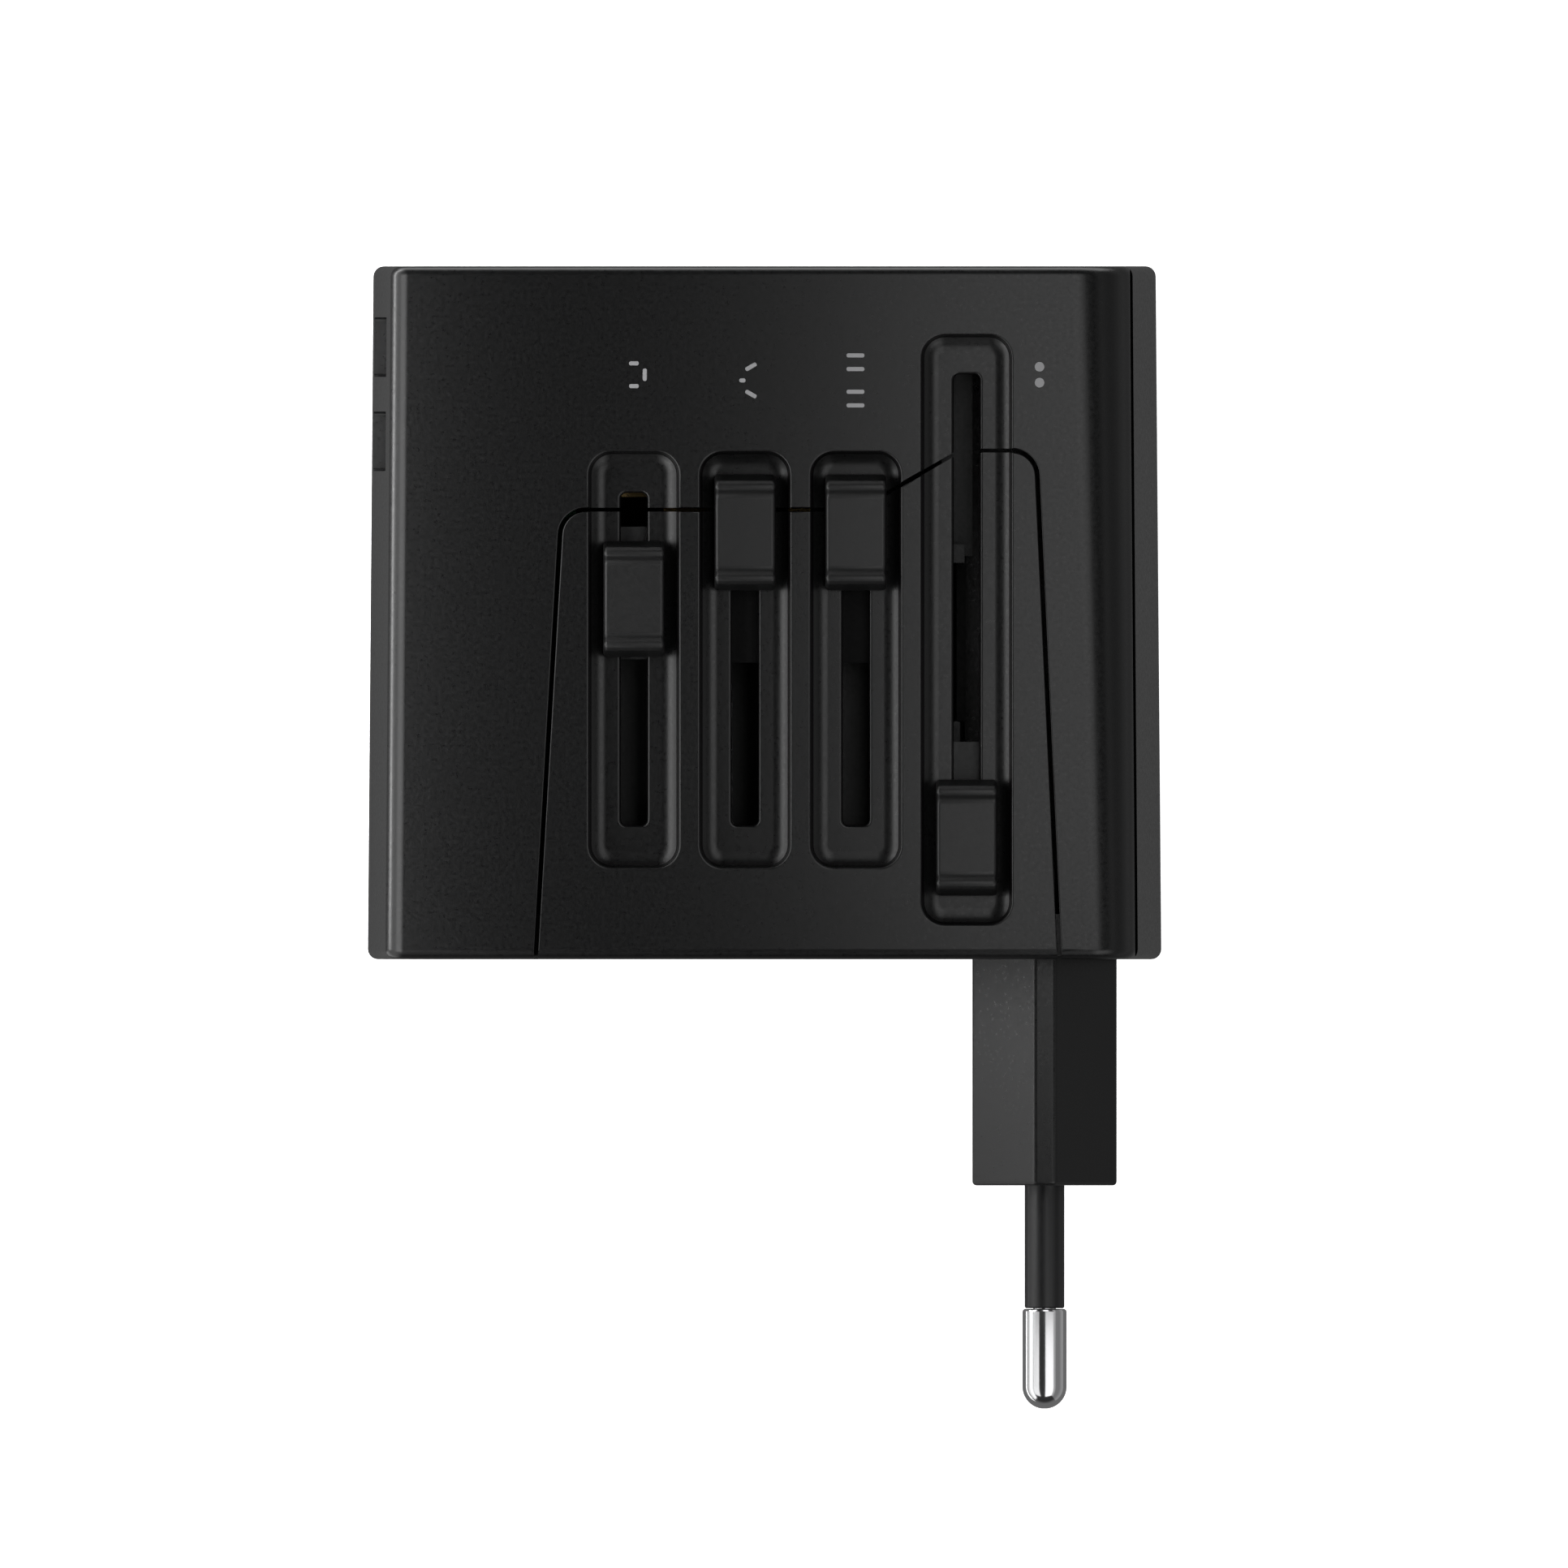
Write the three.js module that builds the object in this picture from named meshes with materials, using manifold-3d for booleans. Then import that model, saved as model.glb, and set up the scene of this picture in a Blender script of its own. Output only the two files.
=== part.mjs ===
// Universal travel adapter, lying on its back with the slider face up.
// Millimetres. +X is the European plug's side, +Y the socket end, +Z the slider face.
// The origin is the middle of the flat back face.

import * as THREE from 'three';
import { mergeVertices } from 'three/addons/utils/BufferGeometryUtils.js';
import Module from 'manifold-3d';

const wasm = await Module();
wasm.setup();

// ---- driving dimensions ------------------------------------------------------------------------

const HALF_LENGTH = 30.5;
const HALF_WIDTH = 34.68;
const WIDTH_DRAFT = 0.25;
const DEPTH = 50;
const PARTING_Z = 28.5;
const WALL = 1.5;
const GAP = 0.3;

const PIN_PLANE_Z = 25;
const PLATE_THICKNESS = 3.8;
const FLANGE_DEPTH = 1.2;
const PLUG_FACE_Y = -HALF_LENGTH + 0.2;
const SOCKET_FACE_Y = HALF_LENGTH - 0.2;

const WELL_WIDTH = 8.14;
const WELL_RADIUS = 2.14;
const WELL_FLOOR_Z = DEPTH - 2.4;
const FRONT_WALL_Z = DEPTH - 3.6;
const SLOT_WIDTH = 2.3;
const SEAM = 0.35;

const KNOB_WIDTH = 5.4;
const KNOB_LENGTH = 10.6;
const KNOB_TOP_Z = DEPTH + 0.4;
const STEM_WIDTH = 1.7;
const STEM_TOP_Z = 49;
const CARRIAGE_PLATE_Z = [44.6, 46.1];

const EU_PIN_X = 24.64;
const EU_PIN_SPACING = 18.6;
const EU_BLOCK_HALF_WIDTH = 6.35;
const EU_BLOCK_HALF_HEIGHT = 17.65;
const EU_BLOCK_Y = [-50.4, -26.2];
const EU_TIP_Y = -70.06;

const UK_PIN_SPACING = 22.2;
const UK_LINE_X = -8.6;
const UK_EARTH_X = UK_LINE_X + UK_PIN_SPACING;
const UK_TIP_Y = -30.2;
const UK_ROOT_Y = -9.2;

const US_BLADE_X = 5.3;
const US_BLADE_SPACING = 12.7;
const AUS_BLADE_X = -1.7;
const AUS_BLADE_SPACING = 13.7;
const AUS_BLADE_TILT = THREE.MathUtils.degToRad(30);
const BLADE_ROOT_Y = -4.4;

const SOCKET_X = -9.5;
const SOCKET_EARTH_X = SOCKET_X + UK_PIN_SPACING;

const USB_PORTS_Y = [23.38, 15.09];
const USB_Z = 37.5;
const USB_MOUTH = [5.25, 14.2];

// The four sliders: where the well, the slot and the knob stand, half the stem's length, and the
// carriage plate under the well.
const THREE_SHORT_WELLS = { well: [-22.57, 14.29], slot: [-18.71, 10.57] };
const SLIDERS = {
  uk: { x: -11.5, knobY: 1.21, stem: 2.8, plate: [[-14, -6.4], [-4.1, 7.57]], ...THREE_SHORT_WELLS },
  aus: { x: -1.71, knobY: 7.07, stem: 3.3, plate: [[-5, 0.8], [-4.4, 12.6]], ...THREE_SHORT_WELLS },
  us_jp: { x: 8.04, knobY: 7.07, stem: 3.3, plate: [[4, 10.5], [-4.4, 12.6]], ...THREE_SHORT_WELLS },
  eu: {
    x: 17.79,
    knobY: -19.79,
    stem: 3.1,
    plate: [[15.3, 20.3], [-26, -11.36]],
    well: [-27.57, 24.57],
    slot: [-23.7, 21],
  },
};

// ---- materials ---------------------------------------------------------------------------------

const finish = (color, roughness, metalness = 0) => () => (
  new THREE.MeshStandardMaterial({ color, roughness, metalness })
);
const caseBlack = finish(0x17181a, 0.55);
const knobBlack = finish(0x141517, 0.45);
const frameGrey = finish(0x55585c, 0.6);
const nickel = finish(0xc9cacb, 0.25, 1);
const brass = finish(0xb8964a, 0.35, 1);
const steel = finish(0x9a9c9f, 0.35, 1);
const boardGreen = finish(0x1f5a38, 0.6);
const tongueWhite = finish(0xdcdcd6, 0.5);
const coilYellow = finish(0xc9a43a, 0.6);
const canBlue = finish(0x24344f, 0.4);
const lensRed = finish(0xa01818, 0.2);
const ceramic = finish(0xe6e0d2, 0.4);

// ---- shape helpers -----------------------------------------------------------------------------

// A closed outline through [u, v, radius] corners, with each radius as an arc.
function outline(corners) {
  const shape = new THREE.Shape();
  const count = corners.length;
  corners.forEach(([u, v, radius = 0], index) => {
    const here = new THREE.Vector2(u, v);
    const before = new THREE.Vector2(...corners[(index + count - 1) % count].slice(0, 2));
    const after = new THREE.Vector2(...corners[(index + 1) % count].slice(0, 2));
    const toBefore = before.sub(here).normalize();
    const toAfter = after.sub(here).normalize();
    const halfAngle = Math.acos(THREE.MathUtils.clamp(toBefore.dot(toAfter), -1, 1)) / 2;
    const reach = radius / Math.tan(halfAngle);
    const start = here.clone().addScaledVector(toBefore, reach);
    if (index === 0) shape.moveTo(start.x, start.y);
    else shape.lineTo(start.x, start.y);
    if (radius > 0) {
      const end = here.clone().addScaledVector(toAfter, reach);
      const bisector = toBefore.clone().add(toAfter).normalize();
      const centre = here.clone().addScaledVector(bisector, radius / Math.sin(halfAngle));
      const from = start.sub(centre).angle();
      const to = end.sub(centre).angle();
      const clockwise = toBefore.x * toAfter.y - toBefore.y * toAfter.x > 0;
      shape.absarc(centre.x, centre.y, radius, from, to, clockwise);
    }
  });
  shape.closePath();
  return shape;
}

function rectangle([u0, u1], [v0, v1], radius = 0) {
  return outline([[u0, v0, radius], [u1, v0, radius], [u1, v1, radius], [u0, v1, radius]]);
}

const spread = (centre, size) => [centre - size / 2, centre + size / 2];

function extrude(shape, [from, to], basis) {
  const options = { depth: to - from, bevelEnabled: false, curveSegments: 5 };
  return new THREE.ExtrudeGeometry(shape, options).translate(0, 0, from).applyMatrix4(basis);
}

const unit = { x: new THREE.Vector3(1, 0, 0), y: new THREE.Vector3(0, 1, 0), z: new THREE.Vector3(0, 0, 1) };
const ALONG_Z = new THREE.Matrix4();
const ALONG_X = new THREE.Matrix4().makeBasis(unit.y, unit.z, unit.x);
const ALONG_Y = new THREE.Matrix4().makeBasis(unit.x, unit.z, unit.y);

// An outline drawn in XY, YZ or XZ, as a prism along the third axis.
const prismZ = (shape, z) => extrude(shape, z, ALONG_Z);
const prismX = (shape, x) => extrude(shape, x, ALONG_X);

function prismY(shape, y) {
  return flipFaces(extrude(shape, y, ALONG_Y));
}

// Swapping two axes turns a solid inside out, so its triangles are wound the other way again.
function flipFaces(geometry) {
  const position = geometry.attributes.position;
  const corner = new THREE.Vector3();
  for (let i = 0; i < position.count; i += 3) {
    corner.fromBufferAttribute(position, i + 1);
    position.setXYZ(i + 1, position.getX(i + 2), position.getY(i + 2), position.getZ(i + 2));
    position.setXYZ(i + 2, corner.x, corner.y, corner.z);
  }
  return geometry;
}

function box([x0, x1], [y0, y1], [z0, z1]) {
  const geometry = new THREE.BoxGeometry(x1 - x0, y1 - y0, z1 - z0);
  return geometry.translate((x0 + x1) / 2, (y0 + y1) / 2, (z0 + z1) / 2);
}

function rodX(radius, [from, to], y, z) {
  const geometry = new THREE.CylinderGeometry(radius, radius, to - from, 20).rotateZ(Math.PI / 2);
  return geometry.translate((from + to) / 2, y, z);
}

function rodY(radius, x, [from, to], z) {
  return new THREE.CylinderGeometry(radius, radius, to - from, 20).translate(x, (from + to) / 2, z);
}

function rodZ(radius, x, y, [from, to]) {
  const geometry = new THREE.CylinderGeometry(radius, radius, to - from, 20).rotateX(Math.PI / 2);
  return geometry.translate(x, y, (from + to) / 2);
}

// The case is a little wider at the plug end than at the socket end.
function drafted(geometry) {
  const position = geometry.attributes.position;
  for (let i = 0; i < position.count; i += 1) {
    const widening = 1 - (WIDTH_DRAFT / HALF_WIDTH) * (position.getY(i) / HALF_LENGTH);
    position.setX(i, position.getX(i) * widening);
  }
  return geometry;
}

function solid(geometry) {
  const bare = geometry.clone();
  bare.deleteAttribute('normal');
  bare.deleteAttribute('uv');
  const merged = mergeVertices(bare, 1e-4);
  return new wasm.Manifold(new wasm.Mesh({
    numProp: 3,
    vertProperties: new Float32Array(merged.attributes.position.array),
    triVerts: new Uint32Array(merged.index.array),
  }));
}

const joined = (first, ...others) => others.reduce((body, other) => body.add(solid(other)), solid(first));
const cutBy = (body, ...tools) => tools.reduce((rest, tool) => rest.subtract(solid(tool)), body);

function surface(manifold) {
  const mesh = manifold.getMesh();
  const geometry = new THREE.BufferGeometry();
  geometry.setAttribute('position', new THREE.BufferAttribute(mesh.vertProperties, 3));
  geometry.setIndex(new THREE.BufferAttribute(mesh.triVerts, 1));
  geometry.computeVertexNormals();
  return geometry;
}

const adapter = new THREE.Group();

function place(name, shape, material) {
  const geometry = shape.isBufferGeometry ? shape : surface(shape);
  const mesh = new THREE.Mesh(geometry, material());
  mesh.name = name;
  adapter.add(mesh);
}

// ---- shared outlines ---------------------------------------------------------------------------

const slopeIn = HALF_WIDTH - WALL;
const CAVITY_FRONT = [
  [-slopeIn, PARTING_Z], [-31.4, FRONT_WALL_Z], [30.3, FRONT_WALL_Z], [31.2, 44.5], [slopeIn, PARTING_Z],
];
const CAVITY_BACK = [
  [slopeIn, PARTING_Z], [31.3, 4], [29.5, 1.8], [-29.5, 1.8], [-31.3, 4], [-slopeIn, PARTING_Z],
];

function frontCaseOutline() {
  const low = PARTING_Z + GAP / 2;
  return outline([[-HALF_WIDTH, low], [-32.85, DEPTH, 1.6], [32.15, DEPTH, 4.6], [HALF_WIDTH, low]]);
}

function backCaseOutline() {
  const high = PARTING_Z - GAP / 2;
  return outline([[HALF_WIDTH, high], [32.75, 0, 3], [-32.75, 0, 3], [-HALF_WIDTH, high]]);
}

// The end plates fill the case's inside, less a gap all round.
function endPlateOutline(grow) {
  const side = slopeIn - GAP + grow;
  const top = FRONT_WALL_Z - GAP + grow;
  const bottom = 1.8 + GAP - grow;
  const lowCorner = 29.3 + 0.7 * grow;
  return outline([
    [-side, PARTING_Z], [-31.1 - grow, top], [30 + grow, top], [30.9 + grow, 44.4],
    [side, PARTING_Z], [31 + grow, 4.1], [lowCorner, bottom], [-lowCorner, bottom], [-31 - grow, 4.1],
  ]);
}

// An end plate between two ends. Behind its face a flange closes the gap round it.
function endPlate([from, to], [flangeFrom, flangeTo]) {
  const flange = drafted(prismY(endPlateOutline(GAP - 0.05), [flangeFrom, flangeTo]));
  return joined(drafted(prismY(endPlateOutline(0), [from, to])), flange);
}

// The slider panel's edge, moved outwards by grow.
function panelOutline(grow) {
  const diagonalShift = grow * Math.tan(THREE.MathUtils.degToRad(15));
  return outline([
    [-20.14 - grow, -HALF_LENGTH - 2 * grow],
    [-17.7 - grow, 8.9 + grow, 2.1],
    [8.29 - diagonalShift, 8.9 + grow],
    [17.3 - diagonalShift, 14.1 + grow],
    [23.75 + grow, 14.1 + grow, 2.1],
    [25.93 + grow, -HALF_LENGTH - 2 * grow],
  ]);
}

function hexagonOutline(grow) {
  const tip = EU_BLOCK_HALF_HEIGHT + grow;
  const side = EU_BLOCK_HALF_WIDTH + grow;
  const flat = 0.9;
  const shoulder = tip - (side - flat);
  const half = [[flat, tip], [side, shoulder], [side, -shoulder], [flat, -tip]];
  const other = half.map(([u, v]) => [-u, -v]);
  return outline([...half, ...other].map(([u, v]) => [u + EU_PIN_X, v + PIN_PLANE_Z]));
}

function ukPinOutline(grow, sign) {
  const z = PIN_PLANE_Z + sign * UK_PIN_SPACING / 2;
  return rectangle(spread(UK_LINE_X, 4 + 2 * grow), spread(z, 6.35 + 2 * grow));
}

function ukEarthOutline(grow) {
  return rectangle(spread(UK_EARTH_X, 8 + 2 * grow), spread(PIN_PLANE_Z, 4 + 2 * grow));
}

function bladeOutline(centreX, centreZ, tilt, thickness, grow) {
  const half = [3.15 + grow, thickness / 2 + grow];
  const corners = [[-1, -1], [1, -1], [1, 1], [-1, 1]].map(([a, b]) => {
    const corner = new THREE.Vector2(a * half[0], b * half[1]).rotateAround(new THREE.Vector2(), tilt);
    return [corner.x + centreX, corner.y + centreZ];
  });
  return outline(corners);
}

function usBladeOutline(grow, sign, centreX = US_BLADE_X) {
  return bladeOutline(centreX, PIN_PLANE_Z + sign * US_BLADE_SPACING / 2, 0, 1.5, grow);
}

function ausBladeOutline(grow, sign, centreX = AUS_BLADE_X) {
  return bladeOutline(centreX, PIN_PLANE_Z + sign * AUS_BLADE_SPACING / 2, -sign * AUS_BLADE_TILT, 1.6, grow);
}

const ends = [['line', 1], ['neutral', -1]];

// ---- the case ----------------------------------------------------------------------------------

const CASE_SCREWS = [[-28, -22], [-28, 7.5], [2.5, 18]];
const CHASSIS_SCREWS = [[12, 2], [-1.5, -18]];
const WHOLE_LENGTH = [-HALF_LENGTH, HALF_LENGTH];
const PAST_THE_ENDS = [-HALF_LENGTH - 5, HALF_LENGTH + 5];

function wellAndSlotTools() {
  return Object.values(SLIDERS).flatMap(({ x, well, slot }) => [
    prismZ(rectangle(spread(x, WELL_WIDTH), well, WELL_RADIUS), [WELL_FLOOR_Z, DEPTH + 2]),
    box(spread(x, SLOT_WIDTH), slot, [FRONT_WALL_Z - 2, WELL_FLOOR_Z + 1]),
  ]);
}

function frontShell() {
  const ledgeZ = [CARRIAGE_PLATE_Z[0], FRONT_WALL_Z + 0.2];
  const leftLedge = outline([[-22.5, -25.5], [-15.6, -25.5], [-15.6, 4], [-21, 4]]);
  const rightLedge = outline([[22.2, -25.5], [27.6, -25.5], [26.4, 10], [22.2, 10]]);
  let shell = joined(drafted(prismY(frontCaseOutline(), WHOLE_LENGTH)));
  shell = cutBy(shell, drafted(prismY(outline(CAVITY_FRONT), PAST_THE_ENDS)));
  shell = shell.add(solid(prismZ(leftLedge, ledgeZ))).add(solid(prismZ(rightLedge, ledgeZ)));
  CASE_SCREWS.forEach(([x, y]) => {
    shell = shell.add(solid(rodZ(3, x, y, [PARTING_Z + GAP / 2, FRONT_WALL_Z + 0.3])));
    shell = cutBy(shell, rodZ(1.6, x, y, [PARTING_Z - 1, 41]));
  });
  USB_PORTS_Y.forEach((y) => {
    shell = cutBy(shell, box([-40, -30], spread(y, USB_MOUTH[0]), spread(USB_Z, USB_MOUTH[1])));
  });
  return cutBy(shell, prismZ(panelOutline(SEAM), [FRONT_WALL_Z - GAP, DEPTH + 2]), ...wellAndSlotTools());
}

function sliderPanel() {
  return cutBy(solid(prismZ(panelOutline(0), [FRONT_WALL_Z, DEPTH])), ...wellAndSlotTools());
}

// A tongue on the back shell closes the parting line behind its groove.
function partingTongue(side) {
  const x = spread(side * (slopeIn + 0.5), 0.7);
  const length = [-HALF_LENGTH + 0.3, HALF_LENGTH - 0.3];
  return drafted(box(x, length, [PARTING_Z - 0.5, PARTING_Z + GAP / 2 - 0.05]));
}

function backShell() {
  let shell = joined(drafted(prismY(backCaseOutline(), WHOLE_LENGTH)));
  shell = cutBy(shell, drafted(prismY(outline(CAVITY_BACK), PAST_THE_ENDS)));
  CASE_SCREWS.forEach(([x, y]) => {
    shell = shell.add(solid(rodZ(4, x, y, [1, 9])));
    shell = shell.add(solid(rodZ(3, x, y, [8, PARTING_Z - GAP / 2])));
    shell = cutBy(shell, rodZ(2.9, x, y, [-1, 6]), rodZ(1.6, x, y, [5, PARTING_Z + 1]));
  });
  CHASSIS_SCREWS.forEach(([x, y]) => {
    shell = shell.add(solid(rodZ(2.6, x, y, [1, 4.3])));
    shell = cutBy(shell, rodZ(1.3, x, y, [1, 5]));
  });
  [-1, 1].forEach((side) => {
    const rib = box([-20, 0], spread(side * (HALF_LENGTH - 2.4), 1), [1, 3]);
    shell = shell.add(solid(rib)).add(solid(partingTongue(side)));
  });
  return shell;
}

// A groove in each end plate drops over the back shell's rib.
function grooved(plate, end) {
  return cutBy(plate, box([-20.4, 0.4], spread(end * (HALF_LENGTH - 2.4), 1.6), [0, 3.4]));
}

function plugFacePlate() {
  const y = [PLUG_FACE_Y, PLUG_FACE_Y + PLATE_THICKNESS];
  const through = [y[0] - 1, y[1] + 1];
  let plate = endPlate(y, [y[0] + FLANGE_DEPTH, y[1]]);
  plate = cutBy(plate, prismY(hexagonOutline(0.25), through), prismY(ukEarthOutline(GAP), through));
  ends.forEach(([, sign]) => {
    [ukPinOutline, usBladeOutline, ausBladeOutline].forEach((shape) => {
      plate = cutBy(plate, prismY(shape(GAP, sign), through));
    });
  });
  return grooved(plate, -1);
}

const DRAWER_X = [24.4, 30];
const DRAWER_Z = [13, 37];

function socketFacePlate() {
  const y = [SOCKET_FACE_Y - PLATE_THICKNESS + 0.4, SOCKET_FACE_Y];
  const through = [y[0] - 1, y[1] + 1];
  let plate = endPlate(y, [y[0], y[1] - FLANGE_DEPTH]);
  ends.forEach(([, sign]) => {
    const pinZ = PIN_PLANE_Z + sign * UK_PIN_SPACING / 2;
    plate = cutBy(
      plate,
      prismY(rectangle(spread(SOCKET_X, 4.6), spread(pinZ, 6.8)), through),
      rodY(2.4, SOCKET_X, through, PIN_PLANE_Z + sign * 9.3),
      prismY(usBladeOutline(0.2, sign, SOCKET_X), through),
      prismY(ausBladeOutline(0.2, sign, SOCKET_X), through),
    );
  });
  const earth = rectangle(spread(SOCKET_EARTH_X, 8.4), spread(PIN_PLANE_Z, 4.6));
  const drawer = rectangle([DRAWER_X[0] - GAP, DRAWER_X[1] + GAP], [DRAWER_Z[0] - GAP, DRAWER_Z[1] + GAP]);
  plate = cutBy(plate, prismY(earth, through), prismY(drawer, through), rodY(1.9, -24, through, 10));
  [[7.6, 9.2], [40.8, 42.4]].forEach((railZ) => {
    plate = plate.add(solid(box([-14, 2], [23.9, y[0] + 0.2], railZ)));
  });
  plate = plate.add(solid(box([4.6, 6], [23.2, y[0] + 0.2], [22, 28])));
  return grooved(plate, 1);
}

function caseScrew([x, y]) {
  return joined(rodZ(2.5, x, y, [3.8, 5.7]), rodZ(1.25, x, y, [5.5, 40])).subtract(
    solid(box(spread(x, 3), spread(y, 0.7), [3, 4.6])),
  );
}

function buildCase() {
  place('front_shell', frontShell(), caseBlack);
  place('back_shell', backShell(), caseBlack);
  place('slider_panel', sliderPanel(), caseBlack);
  place('plug_face_plate', plugFacePlate(), caseBlack);
  place('socket_face_plate', socketFacePlate(), caseBlack);
  CASE_SCREWS.forEach((spot, index) => place(`case_screw_${index + 1}`, caseScrew(spot), steel));
}

// ---- fixed pieces inside -----------------------------------------------------------------------

// Strips under the slots that keep fingers and dust out. Each carriage's web passes beside its own.
const SHIELDS = [
  [[-13, -10], [-26, 5], [42.8, 43.8]],
  [[-3.2, -0.3], [-26, 5], [38, 39]],
  [[6.6, 9.6], [-26, 5], [40, 41]],
  [[15.6, 18.3], [5, 22], [40, 41]],
];

function innerChassis() {
  let chassis = joined(
    box([-15.5, 17.6], [-24, 6], [4.6, 6]),
    box([-15.5, 17.6], [4.4, 6], [5, 43.8]),
    box([-15.5, -14.3], [-24, 6], [5, 40]),
    box([16.9, 17.7], [-24, 6], [5, 21]),
    ...SHIELDS.map((sides) => box(...sides)),
  );
  CHASSIS_SCREWS.forEach(([x, y]) => { chassis = cutBy(chassis, rodZ(1.3, x, y, [4, 7])); });
  BUSBARS.forEach(([, [x0, x1]]) => {
    chassis = cutBy(chassis, box([x0 - 1, x1 + 1], [4, 7], [6, 9]));
  });
  return chassis;
}

function chassisScrew([x, y]) {
  return joined(rodZ(2.2, x, y, [6.3, 7.8]), rodZ(0.95, x, y, [1.4, 6.5])).subtract(
    solid(box(spread(x, 2.6), spread(y, 0.6), [7.2, 9])),
  );
}

// A spring contact: two leaves joined by a web, open towards the socket.
function socketContact(sign) {
  const leaf = 0.8;
  const [x0, x1] = spread(SOCKET_X, 8);
  const channel = outline([
    [x0, 10.2], [x1, 10.2], [x1, 23.4], [x1 - leaf, 23.4],
    [x1 - leaf, 10.2 + leaf], [x0 + leaf, 10.2 + leaf], [x0 + leaf, 23.4], [x0, 23.4],
  ]);
  return prismZ(channel, spread(PIN_PLANE_Z + sign * 10.5, 9));
}

const BUSBARS = [['line', [-8.9, -4.9], 31], ['neutral', [2, 6], 12]];

function busbar([x0, x1], top) {
  const thickness = 0.8;
  const profile = outline([
    [-22, 7], [9.2, 7], [9.2, top], [9.2 - thickness, top],
    [9.2 - thickness, 7 + thickness], [-22, 7 + thickness],
  ]);
  return prismX(profile, [x0, x1]);
}

class Helix extends THREE.Curve {
  constructor([from, to], radius, turns, y, z) {
    super();
    Object.assign(this, { from, to, radius, turns, y, z });
  }

  getPoint(t, target = new THREE.Vector3()) {
    const angle = t * this.turns * 2 * Math.PI;
    const x = this.from + (this.to - this.from) * t;
    return target.set(x, this.y + this.radius * Math.cos(angle), this.z + this.radius * Math.sin(angle));
  }
}

function shutterSpring() {
  const wire = outline([0, 60, 120, 180, 240, 300].map((degrees) => {
    const angle = THREE.MathUtils.degToRad(degrees);
    return [0.22 * Math.cos(angle), 0.22 * Math.sin(angle)];
  }));
  const path = new Helix([-5.5, 4.2], 1.2, 6, 24.7, PIN_PLANE_Z);
  return new THREE.ExtrudeGeometry(wire, { steps: 72, extrudePath: path, bevelEnabled: false });
}

function buildInside() {
  place('inner_chassis', innerChassis(), frameGrey);
  CHASSIS_SCREWS.forEach((spot, index) => place(`chassis_screw_${index + 1}`, chassisScrew(spot), steel));
  ends.forEach(([name, sign]) => place(`${name}_contact`, socketContact(sign), brass));
  BUSBARS.forEach(([name, x, top]) => place(`${name}_busbar`, busbar(x, top), brass));
  place('shutter_spring', shutterSpring(), steel);
}

// ---- the USB supply ----------------------------------------------------------------------------

const BOARD_X = [-18.2, -16.6];

function usbShell(y) {
  const tube = solid(box([-31, -18.6], spread(y, 6.2), spread(USB_Z, 15)));
  return cutBy(tube, box([-32, -18], spread(y, 5.2), spread(USB_Z, 13)));
}

function buildUsb() {
  place('usb_board', box(BOARD_X, [-20, 23.5], [7, 44]), boardGreen);
  USB_PORTS_Y.forEach((y, index) => {
    place(`usb_shell_${index + 1}`, usbShell(y), steel);
    const tongue = box([-28.8, -18.6], spread(y + 1, 1.8), spread(USB_Z, 11.1));
    place(`usb_tongue_${index + 1}`, tongue, tongueWhite);
  });
  place('usb_transformer', box([-30, -18.6], [-17, -2], [8, 24]), coilYellow);
  [-14, -4].forEach((y, index) => {
    place(`usb_capacitor_${index + 1}`, rodX(4, [-30.4, -18.6], y, 34), canBlue);
  });
  place('led_lens', rodY(1.5, -24, [SOCKET_FACE_Y - 3, SOCKET_FACE_Y], 10), lensRed);
}

// ---- the sliders -------------------------------------------------------------------------------

// A thumb knob: raised at both ends, dished in between, with a pocket for its stem underneath.
function knob({ x, knobY, stem }) {
  const base = WELL_FLOOR_Z + GAP;
  const half = KNOB_LENGTH / 2;
  const lip = 4.3;
  const dip = DEPTH - 0.5;
  const side = outline([
    [knobY - half, base], [knobY + half, base], [knobY + half, base + 1.2], [knobY + lip + 0.3, KNOB_TOP_Z],
    [knobY + lip - 0.5, KNOB_TOP_Z], [knobY + 2, dip], [knobY - 2, dip],
    [knobY - lip + 0.5, KNOB_TOP_Z], [knobY - lip - 0.3, KNOB_TOP_Z], [knobY - half, base + 1.2],
  ]);
  const pocketY = spread(knobY, 2 * (stem + GAP));
  const pocket = box(spread(x, STEM_WIDTH + 2 * GAP), pocketY, [base - 1, STEM_TOP_Z + GAP]);
  return cutBy(solid(prismX(side, spread(x, KNOB_WIDTH))), pocket);
}

// The plate under the well and the stem that comes up through the slot.
function carriageTop({ x, knobY, stem, plate }) {
  return joined(
    box(...plate, CARRIAGE_PLATE_Z),
    box(spread(x, STEM_WIDTH), spread(knobY, 2 * stem), [CARRIAGE_PLATE_Z[0] + 0.5, STEM_TOP_Z]),
  );
}

function ukCarriage() {
  const depth = [UK_ROOT_Y, UK_ROOT_Y + 5];
  const body = carriageTop(SLIDERS.uk)
    .add(solid(box([-13, -6.2], depth, [9.5, 38])))
    .add(solid(box([-9.6, -6.2], depth, [37, 45])))
    .add(solid(box([-9.6, -6.4], [-8, 1], CARRIAGE_PLATE_Z)))
    .add(solid(box([-13, 16.5], depth, [9.5, 13])))
    .add(solid(box([11, 16.5], depth, [9.5, 28])));
  const bore = [UK_ROOT_Y - 1, UK_ROOT_Y + 3];
  const slits = ends.map(([, sign]) => (
    box(spread(UK_LINE_X, 2.8), bore, spread(PIN_PLANE_Z + sign * UK_PIN_SPACING / 2, 5.1))
  ));
  const earth = box(spread(UK_EARTH_X, 4.6), bore, spread(PIN_PLANE_Z, 2.6));
  return cutBy(body, ...slits, earth);
}

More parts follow.
